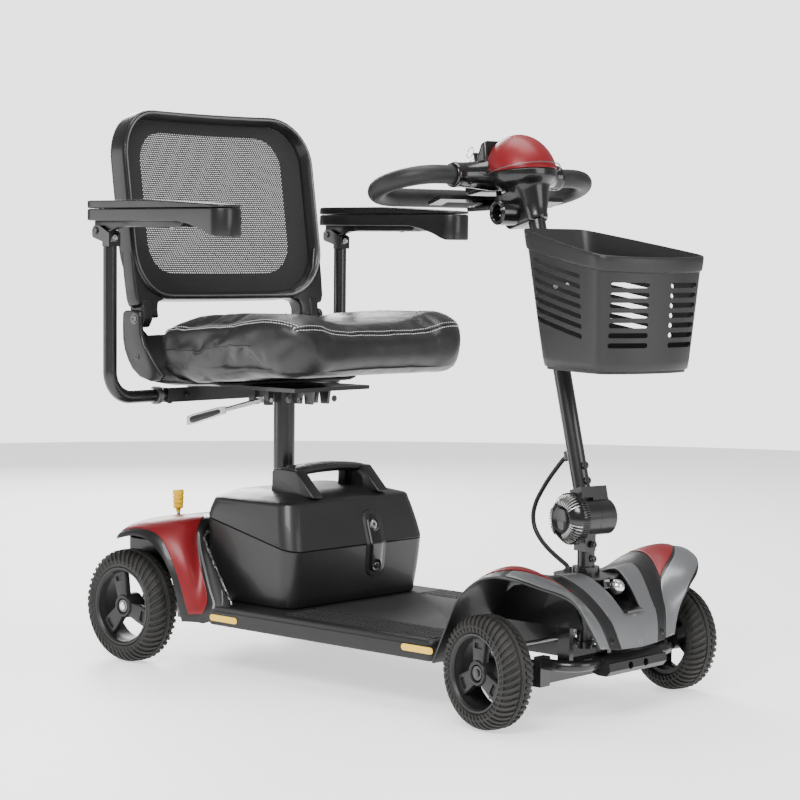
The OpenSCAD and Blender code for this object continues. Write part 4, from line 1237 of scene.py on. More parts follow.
# steering column, knob and cable
def boltHead(name, body, centre, axis, radius=5.5, height=4.0, finish="powderBlack",
             slotName="frame_black"):
    turn = Vector(axis).normalized().to_track_quat("Z", "Y").to_matrix()
    head = spin(name, [(0, height * 0.55), (radius * 0.42, height * 0.55), (radius * 0.46, height),
                       (radius * 0.86, height),
                       (radius, height * 0.7), (radius, 0.6), (radius * 1.35, 0.5), (radius * 1.35, -1.0),
                       (0, -1.0)],
                lambda x, y, z: Vector(centre) + turn @ (Vector((x, y, z)) * mm), finish, 24, 2)
    return done(head, body, slotName)


for k, z in enumerate((243, 266)):
    boltHead(f"stemBoltFront_{k}", "steering", atSteered(19, 0, z), wheelAhead, 4.4, 3)
    boltHead(f"stemBoltRear_{k}", "steering", atSteered(-14.2, 0, z), -wheelAhead, 4.5, 3)
for k, u in enumerate((57, 82)):
    boltHead(f"tubeBoltFront_{k}", "tiller", atTiller(19, 0, u), tubeAhead, 4.4, 3)
    boltHead(f"tubeBoltRear_{k}", "tiller", atTiller(-14.2, 0, u), -tubeAhead, 4.5, 3)

knobSet = dict(back=-23.0, ribs=64, arcRibs=9)
knobProfile = [(0, -50.5), (15, -50.2), (18, -51.6), (21, -52.8), (26, -51.6), (32, -48), (36.5, -43),
               (39.2, -38), (39.8, -34),
               (39.8, -27), (38.6, -24), (36, knobSet["back"]), (0, knobSet["back"])]
knobCore = spin("knobCore", knobProfile, local, "glossBlack", 96)
edgeRib = soften(mmBox("edgeRib", (-1.05, -37.5, 38.6), (1.05, -25, 41.6), "headBlack", local), 0.5, 1, 30)
edgeRibs = copyRound(edgeRib, knobSet["ribs"], "headBlack")
faceRibs = []
for i in range(knobSet["arcRibs"]):
    a = math.radians(-34 + 68 * i / (knobSet["arcRibs"] - 1))
    reach = 1.0 - 0.25 * abs(i - 4) / 4
    rings = []
    for r, s in ((23, -52.8), (29, -51.4), (34.5, -47.0), (38.4, -41.0)):
        if r < 30:
            r += (1 - reach) * 3
        rings.append([Vector((r * math.sin(a) + w * math.cos(a), s - h,
                              r * math.cos(a) - w * math.sin(a))) * mm
                      for w, h in ((-0.9, -1.5), (-0.7, 1.5), (0.7, 1.5), (0.9, -1.5))])
    faceRibs.append(loft("faceRib", rings, "gripFoam", smooth=False))
# painted highlight: the face ribs take the light zinc finish, a lighter grey that stands in for the sheen
# on them
faceRibs = copyRound(join("faceRibs", faceRibs), 3, "zinc", start=math.radians(18))
knob = join("tiltKnob", [knobCore, edgeRibs, faceRibs])
moveMesh(knob, lambda x, y, z: atSteered(x, y, 308 + z))
tidyNormals(knob, fineMerge)
done(knob, "tilt_knob", "cover_black", "tilt_knob")

cableRoute = [(-51, 402), (-62, 394), (-77, 380), (-95, 362), (-112, 342), (-127, 321), (-134, 300),
              (-131, 281), (-118, 264),
              (-99, 250), (-78, 239), (-60, 231), (-47, 225), (-42, 216.4)]
cablePath = smoothPath([atSteered(h, 0, z) for h, z in cableRoute], 5)
cable = tube("tillerCable", cablePath, 3.75, "cableRubber", 16, Vector((0, 1, 0)))
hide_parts("tiller_cable")
tuple(atSteered(-78, 0, 239))
tuple(atSteered(-77, 0, 380))
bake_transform(cable)
grommet = spin("cableGrommet", [(3.9, -2), (3.9, 5.5), (5.6, 5.0), (6.6, 2.4), (9.0, 1.6), (9.4, 0.4),
                                (9.4, -2)],
               lambda x, y, z: atSteered(-41.5 + x, y, 218.4 + z), "cableRubber", 32, 2, True)
done(grommet, "steering", "cable_rubber")
clip = soften(tidyNormals(loft("cableClip",
                               [[atTiller(a, l, u) for a, l in ((-24, -6), (-10, -7), (-10, 7), (-24, 6))]
                                for u in (96, 112)],
                               "headBlack", smooth=False)), 2, 2, 30)
done(clip, "tiller", "cover_black")
print("stage: column")

# hand loop
loopSet = dict(level=586, centre=-125, endRadius=65, halfWidth=203, tubeRadius=15.5)
loopPath = []
straight = loopSet["halfWidth"] - loopSet["endRadius"]
for i in range(9):
    loopPath.append((loopSet["centre"] + loopSet["endRadius"], straight * i / 8))
for i in range(1, 16):
    a = math.pi * i / 16
    loopPath.append((loopSet["centre"] + loopSet["endRadius"] * math.cos(a),
                     straight + loopSet["endRadius"] * math.sin(a)))
for i in range(17):
    loopPath.append((loopSet["centre"] - loopSet["endRadius"], straight - 2 * straight * i / 16))
for i in range(1, 16):
    a = math.pi * i / 16
    loopPath.append((loopSet["centre"] - loopSet["endRadius"] * math.cos(a),
                     -straight - loopSet["endRadius"] * math.sin(a)))
for i in range(9):
    loopPath.append((loopSet["centre"] + loopSet["endRadius"], -straight + straight * i / 8))
loopPoints = smoothPath([atTiller(a, l, loopSet["level"]) for a, l in loopPath], 2)
loop = tube("handLoop", loopPoints, loopSet["tubeRadius"], "gripFoam", 28, tubeUp)
done(loop, "tiller", "grip_foam", "hand_loop")


def acrossTube(name, stations, centre, finish):
    # rings around a line that runs to the rider's left: (left, radius ahead, radius up, ahead shift)
    rings, sides = [], 36
    for l, ra, ru, shift in stations:
        rings.append([atTiller(centre[0] + shift + ra * math.cos(t), l, centre[1] + ru * math.sin(t))
                      for t in (2 * math.pi * i / sides for i in range(sides))])
    return smoothByAngle(loft(name, rings, finish), 45)


for sideName, s in bothSides:
    sleeve = acrossTube(f"gripSleeve_{sideName}", [(s * l, ra, ru, sh) for l, ra, ru, sh in (
        (112, 16.2, 16.2, 0), (112.5, 19.4, 19.4, 0), (111, 20.8, 20.8, 0), (106, 21.2, 21.2, 0),
        (104, 20.4, 20.4, 0), (90, 20.8, 20.6, 0),
        (72, 22.6, 21.6, 1), (55, 25.5, 23.5, 2), (40, 27.6, 26, 5.4), (22, 28.6, 28, 10.4))], (-60, 586),
        "glossBlack")
    done(sleeve, "tiller", "cover_black")
    hole = spin(f"sleeveHole_{sideName}", [(3.2, 1.0), (3.2, 4.0), (4.6, 4.4), (6.0, 3.6), (6.4, 1.0)],
                lambda x, y, z: atTiller(-46 + x, s * 82 + y, 566.5 - z), "castMetal", 24, 2, True)
    done(hole, "tiller", "cover_black")
farCover = acrossTube("headSideCover", [(l, ra, ru, sh) for l, ra, ru, sh in (
    (40, 22, 16, 20), (46, 24, 20, 18), (60, 23, 20, 14), (74, 19, 18, 9), (82, 14, 15, 5),
    (84, 8, 10, 3))], (-44, 578), "coverSilver")
done(farCover, "tiller", "cover_silver")


# control head
def headRing(u, centre, ahead, left, lean=0.0, sides=56):
    ring = []
    for i in range(sides):
        t = 2 * math.pi * i / sides
        a = centre + ahead * math.cos(t)
        ring.append(atTiller(a, left * math.sin(t), u - lean * (a - centre)))
    return ring


neckRings = [headRing(*v) for v in ((493, 0, 17.0, 17.0), (494, 0, 18.8, 18.8), (500, -0.5, 20.2, 20.2),
                                    (503, -0.6, 19.6, 19.6), (520, -3, 25.5, 25.5),
                                    (540, -7, 32.5, 32.0), (549, -9, 36.5, 36, 0.05),
                                    (553, -11, 40, 40, 0.08), (558, -14, 47, 48, 0.11),
                                    (564, -15, 53, 54, 0.13),
                                    (572, -16, 55.6, 56.6, 0.15), (577, -16, 56.4, 57.4, 0.15),
                                    (578.5, -16, 55.4, 56.4, 0.15), (579, -16, 51, 52, 0.15))]
neck = smoothByAngle(loft("headHousing", neckRings, "headBlack"), 38)
done(neck, "tiller", "cover_black", "control_head")
domeRings = [headRing(579.6, -16, 51, 52, 0.15), headRing(579.2, -16, 55.2, 56.0, 0.15),
             headRing(580.2, -16, 56.6, 57.2, 0.15)]
domeRings += [headRing(580 + 63 * math.sin(math.radians(a)), -16 - 4 * math.sin(math.radians(a)),
                       56.8 * math.cos(math.radians(a)) ** 0.96,
                       57.4 * math.cos(math.radians(a)) ** 0.96, 0.15 - 0.0016 * a)
                       for a in (5, 12, 20, 29, 38, 47, 56, 65, 73, 80, 85, 88.5)]
dome = loft("headDome", domeRings, "panelRed")
dashCut = loft("dashCut", [[atTiller(a, l, u) for a,
                            u in ((-140, 570), (-66, 570), (-40, 660), (-140, 680))] for l in (-90, 90)],
                            "panelRed", smooth=False)
cut(dome, dashCut)
done(smoothByAngle(soften(dome, 0.8, 2, 45), 38), "tiller", "panel_red", "head_cover")
dashSides = []
for l, inset in ((-49, 5.0), (-46, 1.2), (-42, 0.0), (42, 0.0), (46, 1.2), (49, 5.0)):
    outline = ((-114, 571), (-108, 566), (-62, 562), (-52, 572), (-40, 640), (-48, 641), (-60, 628),
               (-84, 606), (-108, 597), (-114, 590))
    ca, cu = -78, 592
    ring = []
    for a, u in outline:
        d = Vector((ca - a, cu - u, 0))
        d = d.normalized() * min(inset, d.length)
        ring.append(atTiller(a + d.x, l, u + d.y))
    dashSides.append(ring)
dash = smoothByAngle(soften(loft("dash", dashSides, "headBlack", smooth=False), 1.6, 2, 30), 40)
done(dash, "tiller", "cover_black")
seam = spin("headSeam", [(63.4, 0), (65.0, 0.3), (65.0, 1.3), (63.4, 1.6)],
            lambda x, y, z: atTiller(-17 + x * 0.985, y, 577.6 + z), "castMetal", 96, 2, True)
done(seam, "tiller", "cover_black")
socketBody = spin("chargerBoss",
                  [(0, -41), (13.05, -41), (13.05, -59.2), (14.2, -61), (15.4, -61), (16.2, -59.8),
                   (17.6, -59.8), (18.6, -60.6),
                                  (20.0, -58.6), (20.4, -50), (20.4, -20), (0, -20)],
                  lambda x, y, z: atTiller(-25 + x, y, 512 + z), "glossBlack", 48)
tidyNormals(socketBody)
pins = []
for i in range(3):
    a = math.radians(90 + 120 * i)
    pins.append(spin("pin", [(0, -50), (1.6, -50), (2.0, -49), (2.0, -40), (0, -40)],
                     lambda x, y, z: atTiller(-25 + 6 * math.cos(a) + x, y, 512 + 6 * math.sin(a) + z),
                     "zinc", 12))
charger = join("chargerPort", [socketBody] + pins)
done(charger, "tiller", "cover_black")
block = []
for u, grow in ((489, -4), (493, 0), (528, 2), (548, 8)):
    block.append([atTiller(a, l, u) for a,
                  l in ((-48 - grow, -28 - grow), (8, -26 - grow), (8, 18 + grow),
                        (-40 - grow, 18 + grow))])
done(smoothByAngle(soften(loft("headLowerBlock", block, "headBlack", smooth=False), 5, 3, 30), 40),
     "tiller", "cover_black")
plate = loft("lowerPlate", [[atTiller(a, l, u) for a, l,
                             u in ((-104, -58, 536 + t), (-52, -50, 524 + t), (-46, -10, 524 + t),
                                   (-96, -12, 548 + t))]
                            for t in (0, 9)], "headBlack", smooth=False)
done(soften(plate, 2.5, 2, 30), "tiller", "cover_black")
keyRing = []
for i in range(2):
    ringPath = [atTiller(-104 + (9 - i * 2) * math.cos(t) - i * 8, -30 + i * 5 + 3 * math.sin(t),
                         640 + (9 - i * 2) * math.sin(t) - i * 16)
                for t in (2 * math.pi * n / 28 for n in range(29))]
    keyRing.append(tube("ring", ringPath, 0.9, "ballChrome", 8, tiltAxis))
keyRing.append(smoothByAngle(spin("fob", [(0, 0), (8, 0), (9.4, 1.0), (9.4, 3.2), (8, 4.2), (0, 4.2)],
                                  lambda x, y, z: atTiller(-113 + x, -26 + z - 2, 612 + y), "glossBlack",
                                  32, 2), 40))
done(join("keyRing", keyRing), "key", "cover_black")
print("stage: control head")

# basket
basketSet = dict(rearTop=-95, rearLow=-45, halfRearTop=64, halfRearLow=62, cornerTop=(146, 109),
                 cornerLow=(131, 95), frontTop=166.8, frontLow=158,
                 rimRear=768, rimDrop=46 / 272, floor=548, wall=3.2, bandHeight=26, slots=7,
                 slotPitch=15.3, slotHeight=8.0)


def basketOutline(f):
    # half points go from the rear middle to the front middle; f is 0 at the floor and 1 at the rim
    lerp = lambda low, high: low + (high - low) * f
    rear, half = lerp(basketSet["rearLow"], basketSet["rearTop"]), lerp(basketSet["halfRearLow"],
            basketSet["halfRearTop"])
    corner = Vector((lerp(basketSet["cornerLow"][0], basketSet["cornerTop"][0]),
                     lerp(basketSet["cornerLow"][1], basketSet["cornerTop"][1])))
    front = lerp(basketSet["frontLow"], basketSet["frontTop"])
    pts = [(rear, half * i / 8) for i in range(8)]
    for i in range(22):
        t = i / 22
        pts.append((rear + (corner.x - rear) * t,
                    half + (corner.y - half) * t + 4.5 * math.sin(math.pi * t)))
    for i in range(19):
        t = i / 18
        w = corner.y * (1 - t)
        pts.append((front - (front - corner.x) * (w / corner.y) ** 2.4, w))
    ring = [(x, y) for x, y in pts] + [(x, -y) for x, y in reversed(pts[1:-1])]
    for smoothPass in range(4):
        n = len(ring)
        ring = [((ring[i - 1][0] + 2 * ring[i][0] + ring[(i + 1) % n][0]) / 4,
                 (ring[i - 1][1] + 2 * ring[i][1] + ring[(i + 1) % n][1]) / 4)
                for i in range(n)]
    return ring


def rimHeight(h):
    return basketSet["rimRear"] - (h - basketSet["rearTop"]) * basketSet["rimDrop"]


def basketRing(f, out, drop=0.0):
    ring = []
    pts = basketOutline(f)
    n = len(pts)
    for i, (x, y) in enumerate(pts):
        tx, ty = pts[(i + 1) % n][0] - pts[i - 1][0], pts[(i + 1) % n][1] - pts[i - 1][1]
        size = math.hypot(tx, ty) or 1
        nx, ny = ty / size, -tx / size
        if nx * (x - 30) + ny * y < 0:
            nx, ny = -nx, -ny
        x2, y2 = x + nx * out, y + ny * out
        ring.append(atSteered(x2, y2, basketSet["floor"] + (rimHeight(x2) - basketSet["floor"]) * f - drop))
    return ring


bandStart = 1 - basketSet["bandHeight"] / 200
outer = [basketRing(0, -9, 3), basketRing(0, -5, 2.6), basketRing(0, -4.6, -1.5), basketRing(0, -2, -1.8),
         basketRing(0, -0.4, -4)]
outer += [basketRing(f, 0) for f in (0.08, 0.2, 0.35, 0.5, 0.65, 0.78, bandStart - 0.012)]
outer += [basketRing(bandStart, 2.6), basketRing(bandStart + 0.02, 3.2), basketRing(0.95, 3.3),
          basketRing(1, 3.0, 2.2), basketRing(1, 1.8, 0.4),
          basketRing(1, 0.4, 0.0), basketRing(1, -1.4, 0.5), basketRing(1, -2.2, 2.4)]
inside = [basketRing(f, -basketSet["wall"])
          for f in (bandStart, 0.78, 0.65, 0.5, 0.35, 0.2, 0.08, 0.03)] + [basketRing(0.015, -9)]
basket = loft("basketShell", outer + inside, "basketPlastic")


def slotCutter(count, length, height, depth):
    # a rounded slot, repeated downwards
    outline = [((length - height) / 2 + height / 2 * math.cos(math.radians(a)),
                height / 2 * math.sin(math.radians(a))) for a in range(-90, 91, 30)]
    outline += [(-x, -z) for x, z in outline]
    bar = loft("slot", [[Vector((x, y, z)) * mm for x, z in outline] for y in (-depth, depth)],
               "basketPlastic", smooth=False)
    return copyInRow(bar, count, (0, 0, -basketSet["slotPitch"]), "basketPlastic")


cutters = []
for s in (-1, 1):
    c = slotCutter(basketSet["slots"], 71, basketSet["slotHeight"], 22)
    middle = s * 53

    def frontPlace(x, y, z):
        # x runs across the front, y through the wall
        l = middle + x * 0.985
        return atSteered(150 + y, l + y * 0.28 * s, 681 + z)
    cutters.append(moveMesh(c, frontPlace))
    c = slotCutter(basketSet["slots"], 148, basketSet["slotHeight"], 16)
    sideDirection = Vector((230, 46, 0)).normalized()

    def sidePlace(x, y, z):
        h = 17 + x * sideDirection.x
        return atSteered(h - y * sideDirection.y, s * (85 + x * sideDirection.y + y), rimHeight(h) - 44 + z)
    cutters.append(moveMesh(c, sidePlace))
allSlots = tidyNormals(join("basketSlots", cutters), fineMerge)
cut(basket, allSlots)
done(smoothByAngle(basket, 40), "tiller", "battery_plastic", "basket")
for k, (l, f) in enumerate(((-30, 0.86), (30, 0.86), (-12, 0.60), (12, 0.60))):
    h = basketSet["rearLow"] + (basketSet["rearTop"] - basketSet["rearLow"]) * f + 4
    boltHead(f"basketScrew_{k}", "tiller", atSteered(h, l, basketSet["floor"] + 214 * f), wheelAhead, 3.6,
             2.0, "zinc", "zinc")
print("stage: basket")

# seat shell
shellProfile = [(-445, 616), (-445.5, 596), (-445, 572), (-440.5, 552), (-433, 535), (-423, 521),
                (-409, 509), (-390, 500), (-366, 493.5),
                (-335, 491.2), (-300, 491), (-262, 491.5)]
shellLine = [(v.x, v.z) for v in smoothPath([Vector((x, 0, z)) for x, z in shellProfile], 3)]
shellGrid = []
cx, cz = -250, 640    # the side lips lean towards this point
for i in range(25):
    y = -229 + 458 * i / 24
    edge = max(0.0, abs(y) - 196) / 33
    lift = 5.0 * edge ** 2.2
    row = []
    for x, z in shellLine:
        toward = Vector((cx - x, cz - z)).normalized()
        top = z
        if abs(y) < 186 and z > 574:
            top = 574 + (z - 574) * 0.04
        elif abs(y) < 200 and z > 574:
            top = 574 + (z - 574) * (0.04 + 0.96 * (abs(y) - 186) / 14)
        narrow = 1 - 0.22 * min(1.0, max(0.0, (x + 392) / 110)) ** 2
        row.append(at(x + toward.x * lift, y * narrow, top + toward.y * lift))
    shellGrid.append(row)
n = len(shellGrid[0])
shell = makePiece("shellBack", [p for r in shellGrid for p in r],
                  [(r * n + c, r * n + c + 1, (r + 1) * n + c + 1, (r + 1) * n + c) for r in range(24)
                   for c in range(n - 1)], "coverBlack")
shell = faceUp(shell)
thicken(shell, 5.0, 1.0)
wings = [soften(shell, 1.6, 2, 40)]
for s in (-1, 1):
    wing = [(-445, 617), (-446, 596), (-445, 570), (-440, 550), (-432, 534), (-420, 518), (-400, 504.5),
            (-372, 498), (-350, 500), (-338, 508), (-352, 520), (-372, 540),
            (-388, 560), (-396, 580), (-398, 600), (-397, 612), (-402, 619), (-420, 622), (-438, 621)]
    plate = sidePrism("shellWing", wing, s * 222, s * 231, "coverBlack")
    wings.append(soften(plate, 3.6, 3, 40))
seatShell = smoothByAngle(join("seatShell", wings), 42)
done(seatShell, "seat", "cover_black", "seat_shell")
for sideName, s in bothSides:
    boltHead(f"backHingeBolt_{sideName}", "seat", at(-413, s * 231, 606), (0, s, 0), 7.0, 3.6, "castMetal",
             "zinc")
    boltHead(f"shellBolt_{sideName}", "seat", at(-405, s * 231, 540), (0, s, 0), 4.5, 2.2)

# seat cushion
cushionSet = dict(voxel=0.0055, pressure=4.0, cap=11.0, shrink=3.5, stretch=22, shear=8, bend=1.2,
                  frames=20)
cushionStations = [(-373, 214, 588, 582, 528), (-366, 222, 597, 588, 512), (-345, 230, 604, 592, 502),
                   (-290, 233, 609, 593, 498.5),
                   (-220, 235, 614, 594, 505), (-150, 236, 619, 595, 514), (-100, 235, 622, 596, 515),
                   (-62, 231, 621, 597, 516),
                   (-36, 221, 614, 594, 520), (-18, 204, 602, 586, 528), (-9, 188, 588, 576, 540)]


def cushionRing(x, half, bolster, middle, bottom):
    c = cushionSet["shrink"]
    half, bolster, middle, bottom = half - c, bolster - c, middle - c, bottom + c * 0.6
    side = bolster - bottom
    right = [(0, middle), (40, middle + 0.4), (80, middle + 2), (118, middle + (bolster - middle) * 0.35),
             (150, middle + (bolster - middle) * 0.72),
             (half - 52, bolster - 0.6), (half - 30, bolster), (half - 14, bolster - 2.5),
             (half - 4, bolster - 9), (half - 0.5, bolster - side * 0.25),
             (half - 1, bolster - side * 0.5), (half - 5, bottom + side * 0.25),
             (half - 14, bottom + side * 0.08), (half - 34, bottom),
             (half - 80, bottom), (half - 140, bottom), (0, bottom)]
    ring = right + [(-y, z) for y, z in reversed(right[1:-1])]
    return [at(x, y, z) for y, z in ring]


cushion = loft("seatCushion", [cushionRing(*s) for s in cushionStations], "vinyl")
remesh = cushion.modifiers.new("remesh", "REMESH")
remesh.mode, remesh.voxel_size = "VOXEL", cushionSet["voxel"]
bake(cushion)
smoothing = cushion.modifiers.new("smooth", "SMOOTH")
smoothing.iterations, smoothing.factor = 6, 0.5
bake(cushion)
rest = [v.co.copy() for v in cushion.data.vertices]
cloth = cushion.modifiers.new("cloth", "CLOTH")
cloth.settings.use_pressure = True
cloth.settings.uniform_pressure_force = cushionSet["pressure"]
cloth.settings.quality = 5
cloth.settings.tension_stiffness = cloth.settings.compression_stiffness = cushionSet["stretch"]
cloth.settings.shear_stiffness = cushionSet["shear"]
cloth.settings.bending_stiffness = cushionSet["bend"]
cloth.settings.effector_weights.gravity = 0
cloth.point_cache.frame_start, cloth.point_cache.frame_end = 1, cushionSet["frames"]
for f in range(1, cushionSet["frames"] + 1):
    bpy.context.scene.frame_set(f)
    bpy.context.view_layer.update()
bake(cushion)
bpy.context.scene.frame_set(1)
for v, r in zip(cushion.data.vertices, rest):
    move = v.co - r
    room = cushionSet["cap"] * mm * (0.35 if r.z < at(0, 0, 530).z else 1.0)
    v.co = r + (move if move.length < room else move.normalized() * room)
print("stage: cushion simulated")


def pleat(p, spot, direction, deep, long, wide):
    # a pull in the cover: a short soft groove
    d = p - spot
    along = d.dot(direction)
    away = (d - direction * along).length
    return -deep * math.exp(-(along / long) ** 2 - (away / wide) ** 2)


creases = [(at(-150, -228, 548), Vector((0.55, 0, 0.83)).normalized(), 7, 22, 7),
           (at(-128, -229, 540), Vector((-0.5, 0, 0.86)).normalized(), 6, 18, 6),
           (at(-104, -229, 541), Vector((0.2, 0, 0.97)).normalized(), 7, 15, 7),
           (at(-60, -222, 560), Vector((0.8, 0.1, 0.5)).normalized(), 3, 30, 10)]
for v in cushion.data.vertices:
    shift = sum(pleat(v.co, spot, d, deep * mm, long * mm, wide * mm) for spot, d, deep, long,
                wide in creases)
    ripple = noise.noise(v.co * 16) * 1.4 + noise.noise(v.co * 42) * 0.5
    v.co += v.normal * (shift + ripple * mm)
lowRoom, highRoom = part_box("seat_cushion")
for v in cushion.data.vertices:
    v.co = Vector([min(max(c, lo + 0.0002), hi - 0.0002) for c, lo, hi in zip(v.co, lowRoom, highRoom)])
for poly in cushion.data.polygons:
    poly.use_smooth = True
subdivide(cushion, 1)
done(cushion, "seat", "vinyl", "seat_cushion")
cushionTree = treeOf(cushion)


def onCushion(points, lift):
    out = []
    for p in smoothPath(points, 10):
        spot, normal = cushionTree.find_nearest(p)[:2]
        out.append(spot + normal * lift * mm)
    return out


def seamRow(name, points, offsets):
    # a welt, and a row of stitches at each offset from it
    parts = [tube(name + "Welt", onCushion(points, 0.2), 1.3, "padVinyl", 8)]
    for k, off in enumerate(offsets):
        moved = [p + Vector(off) * mm for p in points]
        parts.append(stitches(name + "Thread" + str(k), onCushion(moved, 0.35)))
    return parts


seamParts = []
for s in (-1, 1):
    edge = [at(x, s * (half - 12), bolster - 3) for x, half,
            bolster in (station[:3] for station in cushionStations[1:9])]
    seamParts += seamRow("sideSeam", edge, [(0, s * 4.0, -1.5), (0, -s * 4.0, 0.5)])
    lower = [at(x, s * 240, z) for x,
             z in ((-343, 553), (-290, 556), (-220, 562), (-162, 565), (-120, 568))]
    seamParts += seamRow("lowSideSeam", lower, [])
    diagonal = [at(-36, s * 214, 606), at(-62, s * 196, 616), at(-84, s * 180, 617), at(-100, s * 168, 614)]
    seamParts += seamRow("cornerSeam", diagonal, [(2.5, s * 3, 0), (-2.5, -s * 3, 0)])
front = [at(-30, y, 605 - 12 * (1 - (abs(y) / 212) ** 2))
         for y in (-212, -180, -140, -90, -45, 0, 45, 90, 140, 180, 212)]
seamParts += seamRow("frontSeam", front, [(-4.5, 0, 1.5), (4.5, 0, -2.5)])
cushionSeams = join("cushionSeams", seamParts)
done(cushionSeams, "seat", "vinyl")
print("stage: cushion")

# backrest
backSet = dict(originX=-434, originZ=640, lean=math.atan(46 / 320), half=237, low=-4,
               top=(979 - 640) / math.cos(math.atan(46 / 320)) - 4, corner=92,
               inset=16, wrap=20, windowHalf=176, windowLow=46, windowTop=300, windowCorner=56)


def onBack(across, up, forward):
    c, s = math.cos(backSet["lean"]), math.sin(backSet["lean"])
    forward = forward + backSet["wrap"] * (across / backSet["half"]) ** 2
    return at(backSet["originX"] - up * s + forward * c, across, backSet["originZ"] + up * c + forward * s)


def backLoop(half, low, top, corner):
    ring, steps = [], 10
    for cx, cz, a0 in ((half - corner, top - corner, 0), (corner - half, top - corner, 90),
                       (corner - half, low + corner, 180), (half - corner, low + corner, 270)):
        for k in range(steps + 1):
            a = math.radians(a0 + 90 * k / steps)
            ring.append((cx + corner * math.cos(a), cz + corner * math.sin(a)))
    dense = []
    for i, a in enumerate(ring):
        z = ring[(i + 1) % len(ring)]
        gap = math.hypot(z[0] - a[0], z[1] - a[1])
        for k in range(max(1, int(gap / 22))):
            f = k / max(1, int(gap / 22))
            dense.append((a[0] + (z[0] - a[0]) * f, a[1] + (z[1] - a[1]) * f))
    return dense


def ringSweep(name, path, section, finish):
    n = len(path)
    rings = []
    for i, (x, z) in enumerate(path):
        tx, tz = path[(i + 1) % n][0] - path[i - 1][0], path[(i + 1) % n][1] - path[i - 1][1]
        size = math.hypot(tx, tz)
        nx, nz = tz / size, -tx / size
        rings.append([onBack(x + nx * o, z + nz * o, w) for o, w in section])
    rings.append(rings[0])
    return smoothByAngle(loft(name, rings, finish, True, False), 36)


backPath = backLoop(backSet["half"], backSet["low"], backSet["top"], backSet["corner"])
rim = ringSweep("backRim", backPath,
                [(-2.5, -22), (-0.6, -20.5), (0, -17), (0, 11), (-0.8, 15), (-2.6, 17.4), (-5.5, 18),
                 (-8, 16.4), (-11, 11), (-14, 3.5),
                                      (-15.8, 0.4), (-15.8, -6), (-14.5, -9), (-13.5, -16), (-11, -20.5),
                                      (-8, -22)], "coverBlack")
bead = ringSweep("backBead", backPath,
                 [(-4.6, 17.2), (-5.0, 19.2), (-6.6, 19.8), (-8.2, 18.8), (-8.4, 16.4), (-6.4, 15.6)],
                 "castMetal")
parts = [rim]
for s in (-1, 1):
    gusset = [(179, -36), (180, -20), (176, -8), (160, -3), (132, -1.5), (128, 8), (165, 10), (196, 24),
              (216, 52), (224, 92), (236.6, 96), (236.8, 40), (235, 0),
              (231, -13), (221, -15), (221, -36)]
    rings = [[onBack(s * a, u, w) for a, u in gusset] for w in (-17, 13)]
    parts.append(soften(loft("backGusset", rings, "coverBlack", smooth=False), 4, 3, 25))
    lug = [[at(-413 + x, s * y, z) for x,
            z in ((-26, 640), (-20, 604), (-9, 591), (6, 591), (14, 604), (10, 640))] for y in (199, 221.5)]
    parts.append(soften(loft("backLug", lug, "coverBlack", smooth=False), 3.5, 3, 25))
backFrame = smoothByAngle(join("backFrame", parts), 40)
done(backFrame, "backrest", "cover_black", "back_frame")
done(bead, "backrest", "cover_black")


def meshRegion(name, loops, finish, centre=None):
    # flat net between loops of equal length, with its own weave map in metres
    n = len(loops[0])
    points = [p for loop in loops for p in loop]
    faces = [(i * n + k, i * n + (k + 1) % n, (i + 1) * n + (k + 1) % n, (i + 1) * n + k)
             for i in range(len(loops) - 1) for k in range(n)]
    if centre:
        points.append(centre)
        faces += [((len(loops) - 1) * n + k, (len(loops) - 1) * n + (k + 1) % n, len(points) - 1)
                  for k in range(n)]
    mesh = bpy.data.meshes.new(name)
    mesh.from_pydata([tuple(onBack(a, u, netDepth(a, u))) for a, u in points], [], faces)
    mesh.materials.append(finishes[finish])
    layer = mesh.uv_layers.new(name="weave")
    for l in mesh.loops:
        a, u = points[l.vertex_index]
        layer.data[l.index].uv = (a * mm, u * mm)
    obj = bpy.data.objects.new(name, mesh)
    bpy.context.scene.collection.objects.link(obj)
    for poly in mesh.polygons:
        poly.use_smooth = True
    return obj


def netDepth(a, u):
    mid = (backSet["low"] + backSet["top"]) / 2
    reach = max(0.0, 1 - (a / 221) ** 2) * max(0.0,
            1 - ((u - mid) / ((backSet["top"] - backSet["low"]) / 2 - 16)) ** 2)
    return -2.5 - 1.2 * reach


def resample(loop, n):
    closed = loop + [loop[0]]
    lengths = [0.0]
    for a, b2 in zip(closed, closed[1:]):
        lengths.append(lengths[-1] + math.hypot(b2[0] - a[0], b2[1] - a[1]))
    out, k = [], 0
    for i in range(n):
        want = lengths[-1] * i / n
        while lengths[k + 1] < want:
            k += 1
        f = (want - lengths[k]) / (lengths[k + 1] - lengths[k])
        out.append((closed[k][0] + (closed[k + 1][0] - closed[k][0]) * f,
                    closed[k][1] + (closed[k + 1][1] - closed[k][1]) * f))
    return out


outerNet = resample(backLoop(backSet["half"] - backSet["inset"] + 0.5,
                             backSet["low"] + backSet["inset"] - 0.5,
                             backSet["top"] - backSet["inset"] + 0.5, 77), 120)
windowNet = resample(backLoop(backSet["windowHalf"], backSet["windowLow"], backSet["windowTop"],
                              backSet["windowCorner"]), 120)
mixLoop = lambda l0, l1, f: [(a[0] + (b2[0] - a[0]) * f, a[1] + (b2[1] - a[1]) * f) for a,
                             b2 in zip(l0, l1)]
borderLoops = [mixLoop(outerNet, windowNet, f) for f in (0, 0.33, 0.66, 1.0)]
middleNet = [(0, (backSet["windowLow"] + backSet["windowTop"]) / 2)] * 120
windowLoops = [mixLoop(windowNet, middleNet, f) for f in (0, 0.12, 0.25, 0.4, 0.55, 0.7, 0.84, 0.94)]
border = meshRegion("netBorder", borderLoops, "meshDense")
window = meshRegion("netWindow", windowLoops, "meshOpen", middleNet[0])
